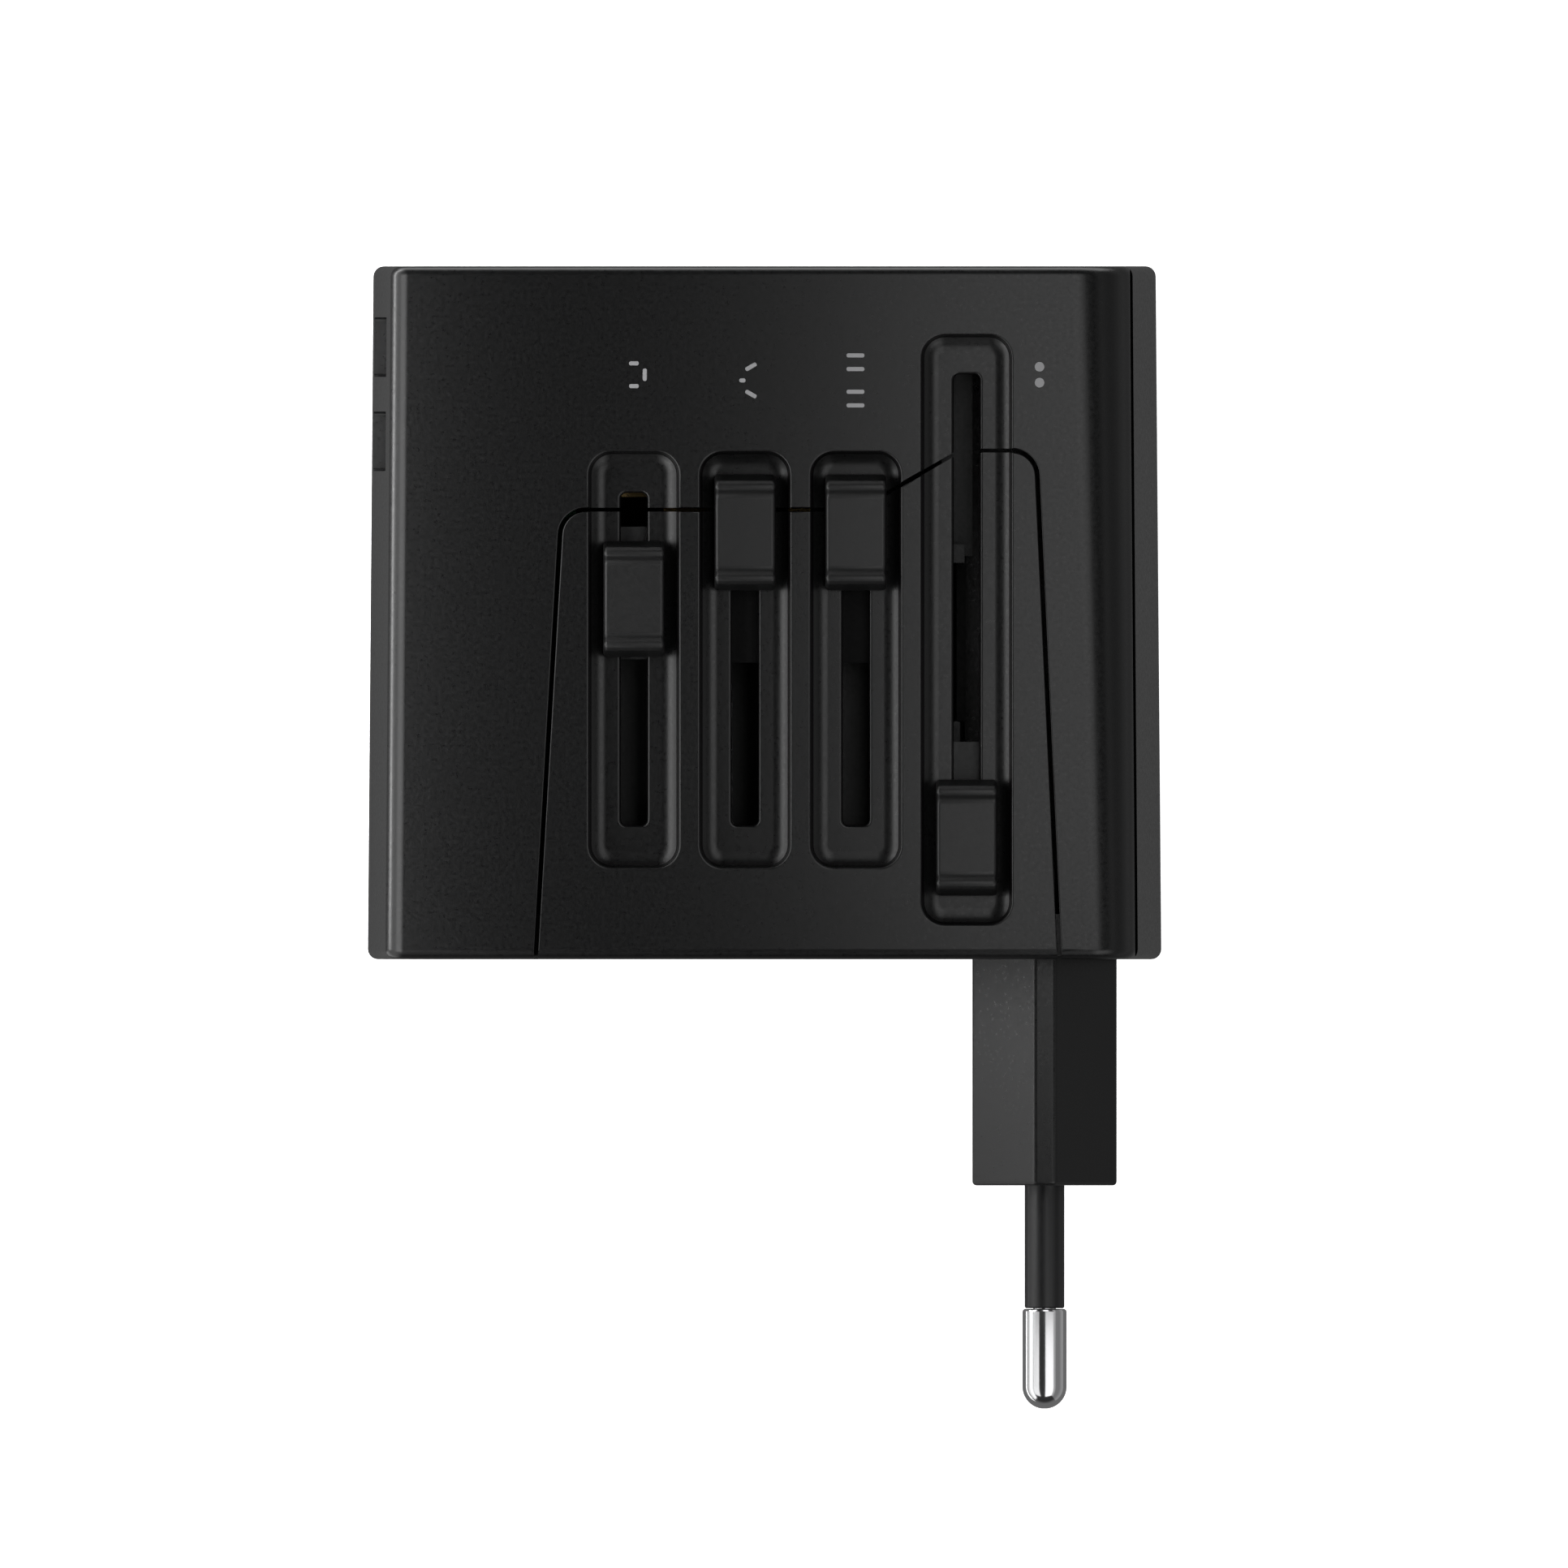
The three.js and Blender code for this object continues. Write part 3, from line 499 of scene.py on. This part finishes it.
def screw_spot(index):
    low, high = span(f"case_screw_{index}")
    return ((low.x + high.x) / 2, (low.y + high.y) / 2)


def cylinder_z(spot, radius, z):
    return loft("tool", [along_z(circle(spot, radius, 40), at) for at in z])


def build_shells():
    spots = [screw_spot(index) for index in SCREWS]
    whole = (-40, 40)
    front = combine(case_solid(), [box_tool(whole, whole, (SHELL_LOW.z, 60))], "INTERSECT")
    back = combine(case_solid(), [box_tool(whole, whole, (-10, BACK_TOP_Z))], "INTERSECT")
    panel = combine(case_solid(), [panel_tool(0, -PANEL_EDGE)], "INTERSECT")

    combine(panel, slider_tools())
    bosses = [cylinder_z(spot, BOSS_RADIUS, (SHELL_LOW.z, FRONT_WALL_Z + 0.2)) for spot in spots]
    combine(front, [cavity_tool()])
    combine(front, bosses, "UNION")
    pilots = [cylinder_z(spot, BORE_RADIUS, (PARTING_Z - 1, 41)) for spot in spots]
    ports = [usb_port_tool(1), usb_port_tool(2)]
    combine(front, pilots + ports + [panel_tool(SEAM, PANEL_EDGE), side_step_tool()] + slider_tools())

    combine(back, [cavity_tool()])
    combine(back, [tongue_tool(-1), tongue_tool(1)], "UNION")
    combine(back, [cylinder_z(spot, BOSS_RADIUS + 1, (1, 9)) for spot in spots], "UNION")
    combine(back, [cylinder_z(spot, BOSS_RADIUS, (8, BACK_TOP_Z)) for spot in spots], "UNION")
    bores = []
    for spot in spots:
        flare = [(3.2, -1), (3.2, 0), (2.9, 0.3), (2.9, 6)]
        bores.append(loft("tool", [along_z(circle(spot, radius, 40), z) for radius, z in flare]))
        bores.append(cylinder_z(spot, BORE_RADIUS, (5, PARTING_Z + 1)))
    combine(back, bores)

    front.name, back.name, panel.name = "case_front", "case_back", "slider_face_panel"
    finish_piece(front, "housing", "case", CASE, "front_shell")
    finish_piece(back, "housing", "case", CASE, "back_shell")
    finish_piece(panel, "housing", "case", CASE, "slider_panel")


# ---- knobs ---------------------------------------------------------------------------------------

def knob_profile(middle, half, base, top):
    """The knob from the side: a rounded crest near each end, with a dished thumb rest between them."""
    dish = top - 0.75
    left = [
        (-half, base, 0.45), (-half + 0.72, top - 0.54, 0.45),
        (-half + 1.29, top, 0.45), (-half + 2.05, dish, 0.8),
    ]
    right = [(-u, v, r) for u, v, r in left[::-1]]
    return [Vector((p.x + middle, p.y)) for p in rounded(left + right, 7)]


def build_knob(name):
    low, high = span(name + "_knob")
    profile = knob_profile((low.y + high.y) / 2, (high.y - low.y) / 2, low.z, high.z)
    piece = bar(name + "_thumb_knob", profile, along_x, (low.x, high.x), 0.4)
    finish_piece(piece, name + "_slide", "knob", KNOB, name + "_knob")


# ---- the European plug ---------------------------------------------------------------------------

def block_outline(gap, crest, steps):
    """The block seen from the plug end, with 45 degree shoulders, rounded crests and a gap round it."""
    low, high = span("eu_plug_block")
    middle, side, tip = (low.x + high.x) / 2, (high.x - low.x) / 2 + gap, (high.z - low.z) / 2 + gap
    flat = BLOCK_FLAT
    shoulder = tip - (side - flat)
    half = [(flat, tip, crest), (side, shoulder, 0.5), (side, -shoulder, 0.5), (flat, -tip, crest)]
    corners = half + [(-u, -v, r) for u, v, r in half]
    return [Vector((p.x + middle, p.y + PIN_PLANE_Z)) for p in rounded(corners, steps)]


def build_eu_block():
    low, high = span("eu_plug_block")
    block = bar("eu_block_moulding", block_outline(0, 0.7, 6), along_y, (low.y, high.y), 0.35)
    bores = []
    for end in ("line", "neutral"):
        centre = centre_of("eu_pin_" + end)
        bores.append(loft("tool", [along_y(circle(centre, 2.05), y) for y in (low.y - 1, high.y + 1)]))
    combine(block, bores)
    finish_piece(block, "eu_slide", "case", CASE, "eu_plug_block")


def lathe_y(name, centre, profile, count=64):
    """A round body about a line along Y, from (radius, y) pairs."""
    return loft(name, [along_y(circle(centre, radius, count), y) for radius, y in profile])


def build_eu_pin(end):
    low, high = span("eu_pin_" + end)
    sleeve_low, sleeve_high = span("eu_sleeve_" + end)
    centre = centre_of("eu_pin_" + end)
    radius = (high.x - low.x) / 2
    profile = []
    for step in range(1, 13):
        angle = math.pi / 2 * step / 12
        profile.append((radius * math.sin(angle), low.y + radius * (1 - math.cos(angle))))
    root = sleeve_low.y - 0.05
    core = 1.0
    profile += [(radius, root - 0.25), (radius - 0.06, root - 0.1), (radius - 0.2, root)]
    profile += [(core, root), (core, high.y)]
    pin = lathe_y(f"eu_plated_pin_{end}", centre, profile)
    finish_piece(pin, "eu_slide", "nickel", NICKEL, "eu_pin_" + end)

    outer = (sleeve_high.x - sleeve_low.x) / 2
    shape = [(outer - 0.12, sleeve_low.y), (outer, sleeve_low.y + 0.12), (outer, sleeve_high.y)]
    sleeve = lathe_y(f"eu_insulation_{end}", centre, shape)
    bore = lathe_y("tool", centre, [(1.3, sleeve_low.y - 1), (1.3, sleeve_high.y + 1)])
    combine(sleeve, [bore])
    finish_piece(sleeve, "eu_slide", "sleeve", SLEEVE, "eu_sleeve_" + end)


# ---- the other pins and blades -------------------------------------------------------------------

def build_blade(name, end, tilt):
    low, high = span(f"{name}_blade_{end}")
    size = (BLADE_WIDTH, BLADE_THICKNESS[name])
    outline = tilted(centre_of(f"{name}_blade_{end}"), size, tilt, 0.34, 4)
    piece = bar(f"{name}_plated_blade_{end}", outline, along_y, (low.y, high.y), 0.3, 0.05)
    finish_piece(piece, name + "_slide", "nickel", NICKEL, f"{name}_blade_{end}")


def build_uk_pins():
    for end in ("line", "neutral"):
        low, high = span("uk_pin_" + end)
        sleeve_low, sleeve_high = span("uk_sleeve_" + end)
        outline = rectangle((low.x, high.x), (low.z, high.z), 0.45, 4)
        shank = tilted(centre_of("uk_pin_" + end), UK_SHANK, 0, 0.2, 4)
        pin = bar(f"uk_plated_pin_{end}", outline, along_y, (low.y, low.y + 8), 0.4, 0.1)
        combine(pin, [loft("tool", [along_y(shank, y) for y in (low.y + 7, high.y)])], "UNION")
        finish_piece(pin, "uk_slide", "nickel", NICKEL, "uk_pin_" + end)
        sleeve = bar(f"uk_insulation_{end}", outline, along_y, (sleeve_low.y, sleeve_high.y), 0.1)
        combine(sleeve, [loft("tool", [along_y(grown(shank, 0.3), y) for y in (low.y, high.y)])])
        finish_piece(sleeve, "uk_slide", "sleeve", SLEEVE, "uk_sleeve_" + end)
    low, high = span("uk_pin_earth")
    outline = rectangle((low.x, high.x), (low.z, high.z), 0.45, 4)
    earth = bar("uk_plastic_earth_pin", outline, along_y, (low.y, high.y - 2.9), 0.4, 0.1)
    finish_piece(earth, "uk_slide", "sleeve", SLEEVE, "uk_pin_earth")


# ---- end plates ----------------------------------------------------------------------------------

def end_plate(name, node):
    """A plate that fills one end of the case, with a flange behind its face, and its ends along Y."""
    low, high = span(node)
    plug_end = low.y < 0
    ends = (low.y, low.y + PLATE_DEPTHS[0]) if plug_end else (high.y - PLATE_DEPTHS[1], high.y)
    front = [(-31.1, 46.1, 0.6), (30, 46.1, 0.6), (30.9, 44.4, 0.6)]
    back = [(31, 4.1, 0.6), (29.3, 2.1, 0.6), (-29.3, 2.1, 0.6), (-31, 4.1, 0.6)]
    corners = [(-32.88, PARTING_Z, 0.3)] + front + [(32.88, PARTING_Z, 0.3)] + back
    outline = [Vector((p.x * draft(ends[0]), p.y)) for p in rounded(corners, 4)]
    near, far = (FLANGE_DEPTH, 0.02) if plug_end else (0.02, FLANGE_DEPTH)
    flange = loft("tool", [along_y(grown(outline, 0.32), y) for y in (ends[0] + near, ends[1] - far)])
    return combine(bar(name, outline, along_y, ends, 0.2), [flange], "UNION"), ends


def hole_tool(outline, ends, outside):
    """A hole through an end plate with a small chamfer on its outer edge."""
    face, inside = ends if outside < 0 else ends[::-1]
    chamfer = 0.3
    rings = [(chamfer, face + outside), (chamfer, face)]
    rings += [(0, face - outside * chamfer), (0, inside - outside)]
    return loft("tool", [along_y(grown(outline, grow), y) for grow, y in rings])


def build_plug_plate():
    plate, ends = end_plate("plug_face", "plug_face_plate")
    tools = []
    for end, sign in (("line", 1), ("neutral", -1)):
        tools.append(tilted(centre_of("uk_pin_" + end), PLUG_OPENINGS["uk"], 0))
        tools.append(tilted(centre_of("us_jp_blade_" + end), PLUG_OPENINGS["us_jp"], 0))
        tools.append(tilted(centre_of("aus_blade_" + end), PLUG_OPENINGS["aus"], -sign * AUS_TILT))
    tools.append(tilted(centre_of("uk_pin_earth"), PLUG_OPENINGS["earth"], 0))
    recess = block_outline(0.25, 0.5, 5)
    cutters = [hole_tool(outline, ends, -1) for outline in tools]
    cutters.append(loft("tool", [along_y(recess, y) for y in (ends[0] - 1, ends[1] + 1)]))
    combine(plate, cutters)
    finish_piece(plate, "housing", "case", CASE, "plug_face_plate")


def build_socket_plate():
    plate, ends = end_plate("socket_face", "socket_face_plate")
    tools = []
    for sign in (1, -1):
        spots = {kind: (SOCKET_X, PIN_PLANE_Z + sign * spacing / 2) for kind, spacing in PIN_SPACING.items()}
        tools.append(tilted(spots["uk"], SOCKET_OPENINGS["uk"], 0))
        tools.append(circle(spots["eu"], 2.4))
        tools.append(tilted(spots["us_jp"], SOCKET_OPENINGS["us_jp"], 0))
        tools.append(tilted(spots["aus"], SOCKET_OPENINGS["aus"], -sign * AUS_TILT))
    tools.append(tilted((SOCKET_X + EARTH_OFFSET, PIN_PLANE_Z), SOCKET_OPENINGS["earth"], 0))
    low, high = span("fuse_drawer")
    drawer = rectangle((low.x - 0.3, high.x + 0.3), (low.z - 0.3, high.z + 0.3), 0.4, 4)
    cutters = [hole_tool(outline, ends, 1) for outline in tools]
    cutters.append(hole_tool(drawer, ends, 1))
    cutters.append(hole_tool(circle(centre_of("led_lens"), 1.9), ends, 1))
    combine(plate, cutters)
    rim, core = [circle((SOCKET_RIM_X, PIN_PLANE_Z), SOCKET_RIM_RADIUS - inset, 96) for inset in (0, 0.5)]
    groove = loft("tool", [along_y(rim, y) for y in (ends[1] - 0.35, ends[1] + 1)])
    combine(groove, [loft("tool", [along_y(core, y) for y in (ends[1] - 1, ends[1] + 2)])])
    combine(plate, [groove])
    finish_piece(plate, "housing", "case", CASE, "socket_face_plate")


# ---- small visible pieces ------------------------------------------------------------------------

def build_usb(index):
    low, high = span(f"usb_shell_{index}")
    y, z = (low.y + high.y) / 2, (low.z + high.z) / 2
    outer = rectangle((low.y, high.y), (low.z, high.z), 0.7, 5)
    shell = bar(f"usb_receptacle_{index}", outer, along_x, (low.x, high.x), 0.2)
    inner = rectangle(about(y, USB_INSIDE[0]), about(z, USB_INSIDE[1]), 0.4, 5)
    mouth = [(0.25, low.x - 1), (0.25, low.x), (0, low.x + 0.4), (0, high.x + 1)]
    combine(shell, [loft("tool", [along_x(grown(inner, grow), x) for grow, x in mouth])])
    finish_piece(shell, "housing", "steel", STEEL, f"usb_shell_{index}")
    depths = (high.x - 3, high.x - 0.2)

    low, high = span(f"usb_tongue_{index}")
    outline = rectangle((low.y, high.y), (low.z, high.z), 0.3, 4)
    tongue = bar(f"usb_tongue_bar_{index}", outline, along_x, (low.x, high.x), 0.2)
    finish_piece(tongue, "housing", "tongue", TONGUE, f"usb_tongue_{index}")
    back = bar(f"usb_insulator_{index}", grown(inner, -0.05), along_x, depths, 0.2)
    finish_piece(back, "housing", "carrier", CARRIER)
    for contact in range(4):
        at = z - 3.75 + 2.5 * contact
        strip = rectangle((low.y - 0.12, low.y + 0.15), about(at, 1), 0.1, 3)
        piece = bar(f"usb_contact_{index}_{contact + 1}", strip, along_x, (low.x + 0.8, high.x - 2), 0.05)
        finish_piece(piece, "housing", "brass", GOLD)


def build_lens():
    low, high = span("led_lens")
    angles = [math.radians(angle) for angle in (0, 20, 40, 60, 80)]
    dome = [(1.5 * math.cos(a), high.y - 0.5 + 0.5 * math.sin(a)) for a in angles]
    lens = lathe_y("indicator_lens", centre_of("led_lens"), [(1.5, low.y)] + dome, 40)
    finish_piece(lens, "housing", "lens", LENS, "led_lens")


def build_screw(index):
    """A pan head with a cross recess, low in its hole in the back."""
    low, high = span(f"case_screw_{index}")
    spot = screw_spot(index)
    head = [(2.0, low.z), (2.35, low.z + 0.2), (2.5, low.z + 0.6), (2.5, low.z + 1.9)]
    profile = head + [(1.25, low.z + 1.9), (1.25, high.z)]
    rings = [along_z(circle(spot, radius, 40), z) for radius, z in profile]
    screw = loft(f"case_screw_{index}_turned", rings)
    slots = []
    for width, length in ((2.6, 0.6), (0.6, 2.6)):
        cross = rectangle(about(spot[0], width), about(spot[1], length), 0.1, 3)
        slots.append(loft("tool", [along_z(cross, z) for z in (low.z - 1, low.z + 1)]))
    combine(screw, slots)
    finish_piece(screw, "housing", "steel", STEEL, f"case_screw_{index}")


def build_fuse_drawer():
    low, high = span("fuse_drawer")
    outline = rectangle((low.x, high.x), (low.z, high.z), 0.45, 4)
    drawer = bar("fuse_drawer_tray", outline, along_y, (low.y, high.y), 0.15, 0.25)
    fuse_low, fuse_high = span("fuse_link")
    play = 0.3
    tray_x = (low.x - 1, fuse_high.x + play)
    tray = box_tool(tray_x, (fuse_low.y - play, fuse_high.y + play), (fuse_low.z - play, fuse_high.z + play))
    notch = rectangle((low.x + 1.4, high.x - 1.4), (20, 30), 0.8, 5)
    depths = ((-0.5, high.y - 0.7), (0, high.y + 0.2))
    finger = loft("tool", [along_y(grown(notch, grow), y) for grow, y in depths])
    combine(drawer, [tray, finger])
    finish_piece(drawer, "fuse_drawer", "case", CASE, "fuse_drawer")


def build_shutter_spring():
    """The shutter's compression spring: a round wire with closed ends."""
    low, high = span("shutter_spring")
    wire = 0.22
    coil = (high.y - low.y) / 2 - wire
    middle = Vector((0, (low.y + high.y) / 2, (low.z + high.z) / 2))
    turns = 8
    steps = 24
    closed = 2 * wire + 0.06
    length = high.x - low.x
    open_pitch = (length - 2 * wire - 2 * closed) / (turns - 2)
    rings = []
    for step in range(turns * steps + 1):
        turn = step / steps
        first, last = min(turn, 1), max(turn - turns + 1, 0)
        x = low.x + wire + closed * (first + last) + open_pitch * (turn - first - last)
        out = Vector((0, math.cos(turn * 2 * math.pi), math.sin(turn * 2 * math.pi)))
        centre = middle + coil * out + Vector((x, 0, 0))
        sides = [math.radians(45 * side) for side in range(8)]
        rings.append([centre + wire * (math.cos(a) * out + math.sin(a) * Vector((1, 0, 0))) for a in sides])
    spring = loft("shutter_spring_coil", rings)
    finish_piece(spring, "housing", "steel", STEEL, "shutter_spring")
    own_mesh(spring)


# ---- printed marks -------------------------------------------------------------------------------

def mark(name, outline):
    """A thin printed shape that stands a hair above the face."""
    piece = loft(name, [along_z(outline, FACE_Z - 0.01), along_z(outline, FACE_Z + 0.02)])
    finish_piece(piece, "housing", "case", PRINT)


def mark_bars(name, spot, bars):
    """Bars of a pin layout: (along X, along Y, length, tilt in degrees), from the mark's middle."""
    for index, (du, dv, length, tilt) in enumerate(bars):
        outline = tilted((spot[0] + du, spot[1] + dv), (length, MARK_LINE), math.radians(tilt))
        mark(f"{name}_{index + 1}", outline)


def build_marks():
    """A pin-layout pictogram above each slider, turned a quarter turn."""
    edge = MARK_WIDTH / 2
    square_pins = [(edge - MARK_LINE / 2, 0, 1.1, 90), (-0.35, 1.0, 0.85, 0), (-0.35, -1.0, 0.85, 0)]
    mark_bars("mark_uk", (-11.15, 20.95), square_pins)
    angled_pins = [(0.25, 1.2, 1.1, -30), (0.25, -1.2, 1.1, 30), (-0.5, 0, 0.55, 0)]
    mark_bars("mark_aus", (-1.45, 20.45), angled_pins)
    pairs = [(0, dv, MARK_WIDTH, 0) for dv in (2.2, 1.0, -1.0, -2.2)]
    mark_bars("mark_us_jp", (8.0, 20.45), pairs)
    for index, dv in enumerate((0.7, -0.7)):
        mark(f"mark_eu_{index + 1}", circle((24.2, 20.95 + dv), 0.42, 32))


# ---- pieces kept from the frame ------------------------------------------------------------------

KEPT = {
    CHASSIS: ("inner_chassis",),
    BLADE_CARRIER: ("aus_carriage", "us_jp_carriage"),
    CARRIER: ("uk_carriage", "eu_carriage", "shutter"),
    BRASS: ("line_contact", "neutral_contact", "line_busbar", "neutral_busbar"),
    STEEL: ("chassis_screw_1", "chassis_screw_2"),
    BOARD: ("usb_board",),
    WINDING: ("usb_transformer",),
    CAN: ("usb_capacitor_1", "usb_capacitor_2"),
    CERAMIC: ("fuse_link",),
}


def dress_kept_nodes():
    for material, names in KEPT.items():
        for name in names:
            part = PARTS[name]
            part.data.materials.clear()
            part.data.materials.append(material)
            bevel = part.modifiers.new("edge_break", "BEVEL")
            bevel.width = 0.12 * MM
            bevel.segments = 2
            bevel.limit_method = "ANGLE"
            bevel.angle_limit = math.radians(40)


# ---- stage ---------------------------------------------------------------------------------------

def area_light(name, width, length, radiance, place):
    """A rectangular light that the camera doesn't see. It shines along its own -Z."""
    light = bpy.data.lights.new(name, "AREA")
    light.shape = "RECTANGLE"
    light.size = width * MM
    light.size_y = length * MM
    light.energy = radiance * math.pi * light.size * light.size_y
    lamp = bpy.data.objects.new(name, light)
    lamp.matrix_world = place
    lamp.visible_camera = False
    bpy.context.scene.collection.objects.link(lamp)


def add_softbox(name, x, z, radiance, y=(-225, 195)):
    """A softbox that runs along Y, from its first edge in X and Z to its second.

    It shines to the right of the way from the first edge to the second, seen from the plug end.
    """
    edge, other = Vector((x[0], 0, z[0])), Vector((x[1], 0, z[1]))
    across = other - edge
    u = across.normalized()
    v = Vector((0, 1, 0))
    turn = Matrix((u, v, u.cross(v))).transposed().to_4x4()
    middle = (edge + other) / 2 + Vector((0, (y[0] + y[1]) / 2, 0))
    area_light(name, across.length, y[1] - y[0], radiance, Matrix.Translation(middle * MM) @ turn)


def add_end_softbox(name, x, y, z, radiance):
    """An upright softbox across the socket end, between two heights, that shines back along Y."""
    middle = Vector(((x[0] + x[1]) / 2, y, (z[0] + z[1]) / 2)) * MM
    turn = Matrix.Rotation(math.radians(-90), 4, "X")
    area_light(name, x[1] - x[0], z[1] - z[0], radiance, Matrix.Translation(middle) @ turn)


def build_room():
    """A pale floor and walls round the object, in metres. Only the camera sees them."""
    reach, height = 6.0, 4.0
    corners = [(-reach, -reach), (reach, -reach), (reach, reach), (-reach, reach)]
    points = [(x, y, z) for z in (-height, 0, height) for x, y in corners]
    walls = [(side, (side + 1) % 4, (side + 1) % 4 + 8, side + 8) for side in range(4)]
    mesh = bpy.data.meshes.new("room")
    mesh.from_pydata(points, [], [(4, 5, 6, 7)] + walls)
    room = bpy.data.objects.new("room", mesh)
    bpy.context.scene.collection.objects.link(room)
    room.location.z = -0.0002
    material, principled = shader("room_pale", (0.93, 0.93, 0.93), 0.8)
    principled.inputs["Emission Color"].default_value = (1, 1, 1, 1)
    principled.inputs["Emission Strength"].default_value = 0.95
    mesh.materials.append(material)
    room.visible_glossy = False
    room.visible_diffuse = False
    room.visible_shadow = False


def build_world():
    """A dim room: a little brighter below the horizon, where a pale table would be."""
    world = bpy.data.worlds.new("studio")
    world.use_nodes = True
    tree = world.node_tree
    direction = tree.nodes.new("ShaderNodeTexCoord")
    split = tree.nodes.new("ShaderNodeSeparateXYZ")
    tree.links.new(direction.outputs["Generated"], split.inputs["Vector"])
    level = tree.nodes.new("ShaderNodeMapRange")
    level.inputs["From Min"].default_value = -0.2
    level.inputs["From Max"].default_value = 0.1
    level.inputs["To Min"].default_value = 0.16
    level.inputs["To Max"].default_value = 0.03
    tree.links.new(split.outputs["Z"], level.inputs["Value"])
    tree.links.new(level.outputs["Result"], tree.nodes["Background"].inputs["Strength"])
    tree.nodes["Background"].inputs["Color"].default_value = (1, 1, 1, 1)
    bpy.context.scene.world = world


def build_stage():
    build_room()
    build_world()
    plug_end = (-225, -59)
    add_softbox("left_wall", (-85, -85), (28, 38), 0.8)
    add_softbox("left_strip", (-85, -85), (38, 50), 11.0, y=(-32, 150))
    add_softbox("left_strip_plug_end", (-85, -85), (38, 50), 0.8, y=(-225, -32))
    add_softbox("left_wall_high", (-85, -85), (50, 92), 1.6, y=(-32, 195))
    add_softbox("left_high_plug_end", (-85, -85), (50, 92), 1.35, y=(-225, -32))
    add_softbox("left_key", (-80, -40), (92, 92), 3.3, y=(-55, 52))
    add_softbox("left_table_plug_end", (-70, -160), (-4, -4), 1.6, y=(-225, -45))
    add_softbox("top_softbox", (10, 70), (150, 150), 1.4, y=(-42, 85))
    add_softbox("top_plug_end", (34, 150), (150, 150), 1.3, y=plug_end)
    add_softbox("top_left_plug_end", (-176, -37), (150, 150), 1.05, y=plug_end)
    add_softbox("right_wall_high", (150, 150), (150, 110), 0.4)
    add_softbox("right_wall", (150, 150), (110, -20), 0.17)
    add_end_softbox("socket_end_wall", (-140, 140), 170, (-20, 66), 2.9)


def build_camera():
    camera = bpy.data.cameras.new("camera")
    camera.type = "ORTHO"
    camera.ortho_scale = VIEW_WIDTH * MM
    holder = bpy.data.objects.new("camera", camera)
    holder.location = (VIEW_CENTRE[0] * MM, VIEW_CENTRE[1] * MM, 2.0)
    bpy.context.scene.collection.objects.link(holder)
    bpy.context.scene.camera = holder
    bpy.context.scene.view_settings.view_transform = "Standard"


build_shells()
for slider in SLIDERS:
    build_knob(slider)
build_eu_block()
for pin_end in ("line", "neutral"):
    build_eu_pin(pin_end)
for blade_end, blade_sign in (("line", 1), ("neutral", -1)):
    build_blade("us_jp", blade_end, 0)
    build_blade("aus", blade_end, -blade_sign * AUS_TILT)
build_uk_pins()
build_plug_plate()
build_socket_plate()
for port in (1, 2):
    build_usb(port)
build_lens()
for screw_index in SCREWS:
    build_screw(screw_index)
build_fuse_drawer()
build_shutter_spring()
build_marks()
dress_kept_nodes()
build_stage()
build_camera()
